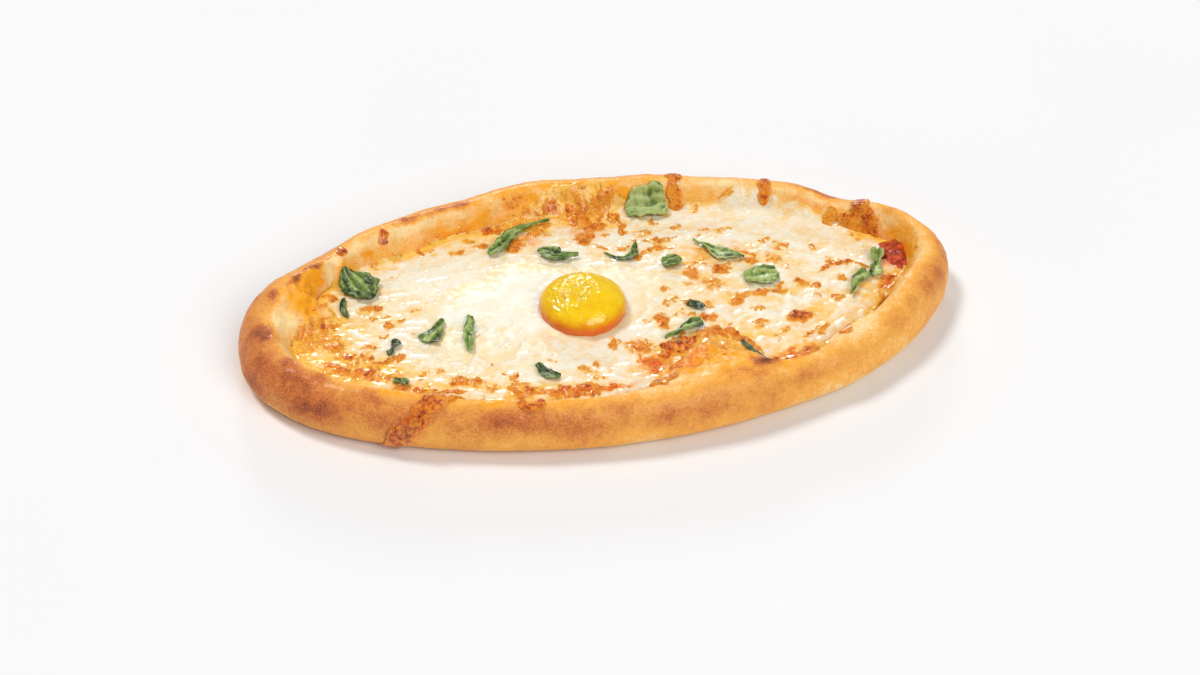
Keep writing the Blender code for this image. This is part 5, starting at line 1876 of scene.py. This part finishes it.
def scatter_tree(name, build_shape):
    """Geometry nodes that scatter a shape over a mesh, more where its attribute "room" is high."""
    tree = bpy.data.node_groups.new(name, "GeometryNodeTree")
    sockets = tree.interface
    sockets.new_socket("Geometry", in_out="INPUT", socket_type="NodeSocketGeometry")
    for key, kind in (("Density", "Float"), ("Size", "Float"), ("Seed", "Int"), ("Material", "Material")):
        sockets.new_socket(key, in_out="INPUT", socket_type="NodeSocket" + kind)
    sockets.new_socket("Geometry", in_out="OUTPUT", socket_type="NodeSocketGeometry")
    add, link = tree.nodes.new, tree.links.new
    start, end = add("NodeGroupInput"), add("NodeGroupOutput")
    room = add("GeometryNodeInputNamedAttribute")
    room.data_type = "FLOAT"
    room.inputs["Name"].default_value = "room"
    density = add("ShaderNodeMath")
    density.operation = "MULTIPLY"
    link(start.outputs["Density"], density.inputs[0])
    link(room.outputs["Attribute"], density.inputs[1])
    points = add("GeometryNodeDistributePointsOnFaces")
    link(start.outputs["Geometry"], points.inputs["Mesh"])
    link(density.outputs[0], points.inputs["Density"])
    link(start.outputs["Seed"], points.inputs["Seed"])
    turn = add("FunctionNodeRandomValue")
    turn.data_type = "FLOAT"
    turn.inputs[3].default_value = 2 * math.pi
    link(start.outputs["Seed"], turn.inputs["Seed"])
    spin = add("FunctionNodeAxisAngleToRotation")
    spin.inputs["Axis"].default_value = (0, 0, 1)
    link(turn.outputs[1], spin.inputs["Angle"])
    tilt = add("FunctionNodeRotateRotation")
    tilt.rotation_space = "LOCAL"
    link(points.outputs["Rotation"], tilt.inputs["Rotation"])
    link(spin.outputs["Rotation"], tilt.inputs["Rotate By"])
    size = add("FunctionNodeRandomValue")
    size.data_type = "FLOAT"
    size.inputs[2].default_value, size.inputs[3].default_value = 0.6, 1.4
    link(start.outputs["Seed"], size.inputs["Seed"])
    scale = add("ShaderNodeMath")
    scale.operation = "MULTIPLY"
    link(size.outputs[1], scale.inputs[0])
    link(start.outputs["Size"], scale.inputs[1])
    place = add("GeometryNodeInstanceOnPoints")
    link(points.outputs["Points"], place.inputs["Points"])
    link(build_shape(tree), place.inputs["Instance"])
    link(tilt.outputs["Rotation"], place.inputs["Rotation"])
    link(scale.outputs[0], place.inputs["Scale"])
    real, paint = add("GeometryNodeRealizeInstances"), add("GeometryNodeSetMaterial")
    link(place.outputs["Instances"], real.inputs["Geometry"])
    link(real.outputs["Geometry"], paint.inputs["Geometry"])
    link(start.outputs["Material"], paint.inputs["Material"])
    link(paint.outputs["Geometry"], end.inputs["Geometry"])
    return tree


def fried_bubble(tree):
    """A low bubble, one unit across, half sunk in what it sits on."""
    ball = tree.nodes.new("GeometryNodeMeshUVSphere")
    ball.inputs["Segments"].default_value = 9
    ball.inputs["Rings"].default_value = 5
    ball.inputs["Radius"].default_value = 0.5
    squeeze = tree.nodes.new("GeometryNodeTransform")
    squeeze.inputs["Scale"].default_value = (1.0, 0.85, 0.42)
    tree.links.new(ball.outputs["Mesh"], squeeze.inputs["Geometry"])
    smooth = tree.nodes.new("GeometryNodeSetShadeSmooth")
    tree.links.new(squeeze.outputs["Geometry"], smooth.inputs["Geometry"])
    return smooth.outputs["Geometry"]


def flat_flake(tree):
    """A flat uneven flake, one unit across."""
    flake = tree.nodes.new("GeometryNodeMeshIcoSphere")
    flake.inputs["Radius"].default_value = 0.5
    flake.inputs["Subdivisions"].default_value = 1
    squeeze = tree.nodes.new("GeometryNodeTransform")
    squeeze.inputs["Scale"].default_value = (1.0, 0.55, 0.35)
    tree.links.new(flake.outputs["Mesh"], squeeze.inputs["Geometry"])
    return squeeze.outputs["Geometry"]


def scatter(name, host, tree, density, size, seed, material):
    """Runs a scatter tree on a copy of the host, and keeps what it makes as a plain mesh."""
    carrier = bpy.data.objects.new(name + "_carrier", host.data)
    bpy.context.scene.collection.objects.link(carrier)
    modifier = carrier.modifiers.new("scatter", "NODES")
    modifier.node_group = tree
    values = {"Density": density, "Size": size, "Seed": seed, "Material": material}
    for item in tree.interface.items_tree:
        if item.in_out == "INPUT" and item.name in values:
            modifier[item.identifier] = values[item.name]
    graph = bpy.context.evaluated_depsgraph_get()
    mesh = bpy.data.meshes.new_from_object(carrier.evaluated_get(graph))
    bpy.data.objects.remove(carrier)
    mesh.name = name
    piece = bpy.data.objects.new(name, mesh)
    bpy.context.scene.collection.objects.link(piece)
    return piece


class PEINIRLI_OT_bubbles(bpy.types.Operator):
    """Scatter fried bubbles over the browned cheese and the oily dough"""

    bl_idname = "peinirli.bubbles"
    bl_label = "Fried bubbles"

    def execute(self, context):
        settings, sauce = context.scene.peinirli_cheese, context.scene.peinirli_sauce
        tree = scatter_tree("fried_bubbles", fried_bubble)
        on_cheese = cheese_material(settings, sauce, "fried_cheese_bubbles", 0.12)
        on_dough = cheese_material(settings, sauce, "fried_dough_bubbles", 0.16)
        for name, host, share, material in (
            ("cheese_bubbles", "cheese_bed", 1.0, on_cheese),
            ("dough_bubbles", "crust", 0.3, on_dough),
        ):
            density = share * settings.bubbles
            bubbles = scatter(name, bpy.data.objects[host], tree, density, settings.bubble, 3, material)
            dress(bubbles, material, "cheese")
        return {"FINISHED"}


class PEINIRLI_OT_herbs(bpy.types.Operator):
    """Scatter dried herb specks over the cheese"""

    bl_idname = "peinirli.herbs"
    bl_label = "Herb specks"

    def execute(self, context):
        settings = context.scene.peinirli_sauce
        material = speck_material("dried_herbs", settings.herb, blend(settings.herb, (0, 0, 0), 0.5), 0.7)
        tree = scatter_tree("herb_specks", flat_flake)
        cheese = bpy.data.objects["cheese_bed"]
        specks = scatter("herb_specks", cheese, tree, settings.herbs, 1.1 * MM, 8, material)
        dress(specks, material, "leaf")
        return {"FINISHED"}


# The stage


def sun(name, strength, angle, towards):
    """A soft light from far away that shines along a direction."""
    data = bpy.data.lights.new(name, "SUN")
    data.energy = strength
    data.angle = math.radians(angle)
    lamp = bpy.data.objects.new(name, data)
    lamp.rotation_euler = Vector(towards).to_track_quat("-Z", "Y").to_euler()
    bpy.context.scene.collection.objects.link(lamp)


def photo_camera(lens):
    """The camera of the photograph: it looks down on the boat from the front, a little from the left."""
    heading, pitch, roll = (math.radians(turn) for turn in CAMERA_TURN)
    level = math.cos(pitch)
    forward = Vector((math.sin(heading) * level, math.cos(heading) * level, -math.sin(pitch)))
    right = Vector((math.cos(heading), -math.sin(heading), 0))
    up = right.cross(forward)
    across = math.cos(roll) * right + math.sin(roll) * up
    upward = math.cos(roll) * up - math.sin(roll) * right
    data = bpy.data.cameras.new("camera")
    data.lens = lens
    camera = bpy.data.objects.new("camera", data)
    turn = Matrix((across, upward, -forward)).transposed().to_4x4()
    camera.matrix_world = Matrix.Translation(CAMERA_PLACE) @ turn
    bpy.context.scene.collection.objects.link(camera)
    bpy.context.scene.camera = camera


class PEINIRLI_OT_stage(bpy.types.Operator):
    """Make the floor, the lights and the camera"""

    bl_idname = "peinirli.stage"
    bl_label = "Stage"

    def execute(self, context):
        settings = context.scene.peinirli_stage
        half, below = 3.0, -0.1 * MM
        corners = [(-half, -half, below), (half, -half, below), (half, half, below), (-half, half, below)]
        floor = new_piece("floor", corners, [(0, 1, 2, 3)])
        floor.data.materials.append(floor_material(settings.floor))
        sun("key_light", settings.key, 16, (0.45, -0.42, -1.0))
        sun("glint_light", settings.glint, 12, (-0.1, -0.93, -0.34))
        sun("fill_light", settings.fill, 40, (-0.35, 0.76, -0.72))
        world = bpy.data.worlds.new("studio")
        world.use_nodes = True
        world.node_tree.nodes["Background"].inputs["Color"].default_value = (1, 1, 1, 1)
        world.node_tree.nodes["Background"].inputs["Strength"].default_value = settings.sky
        context.scene.world = world
        context.scene.view_settings.view_transform = "Standard"
        photo_camera(settings.lens)
        return {"FINISHED"}


STEPS = (
    PEINIRLI_OT_stage,
    PEINIRLI_OT_crust,
    PEINIRLI_OT_cheese,
    PEINIRLI_OT_runs,
    PEINIRLI_OT_egg_white,
    PEINIRLI_OT_yolk,
    PEINIRLI_OT_sauce,
    PEINIRLI_OT_leaves,
    PEINIRLI_OT_bubbles,
    PEINIRLI_OT_herbs,
)


class PEINIRLI_PT_panel(bpy.types.Panel):
    """Lists the pieces and their settings"""

    bl_idname = "PEINIRLI_PT_panel"
    bl_label = "Peinirli"
    bl_space_type = "VIEW_3D"
    bl_region_type = "UI"
    bl_category = "Peinirli"

    def draw(self, context):
        for key in SETTINGS:
            box = self.layout.box()
            group = getattr(context.scene, key)
            for name in group.bl_rna.properties.keys()[2:]:
                box.prop(group, name)
        for step in STEPS:
            self.layout.operator(step.bl_idname)


def register():
    for made in (*SETTINGS.values(), *STEPS, PEINIRLI_PT_panel):
        bpy.utils.register_class(made)
    for key, group in SETTINGS.items():
        setattr(bpy.types.Scene, key, PointerProperty(type=group))


def unregister():
    for key in SETTINGS:
        delattr(bpy.types.Scene, key)
    for made in reversed((*SETTINGS.values(), *STEPS, PEINIRLI_PT_panel)):
        bpy.utils.unregister_class(made)


def main():
    register()
    for step in STEPS:
        area, name = step.bl_idname.split(".")
        getattr(getattr(bpy.ops, area), name)()


if __name__ == "__main__":
    main()
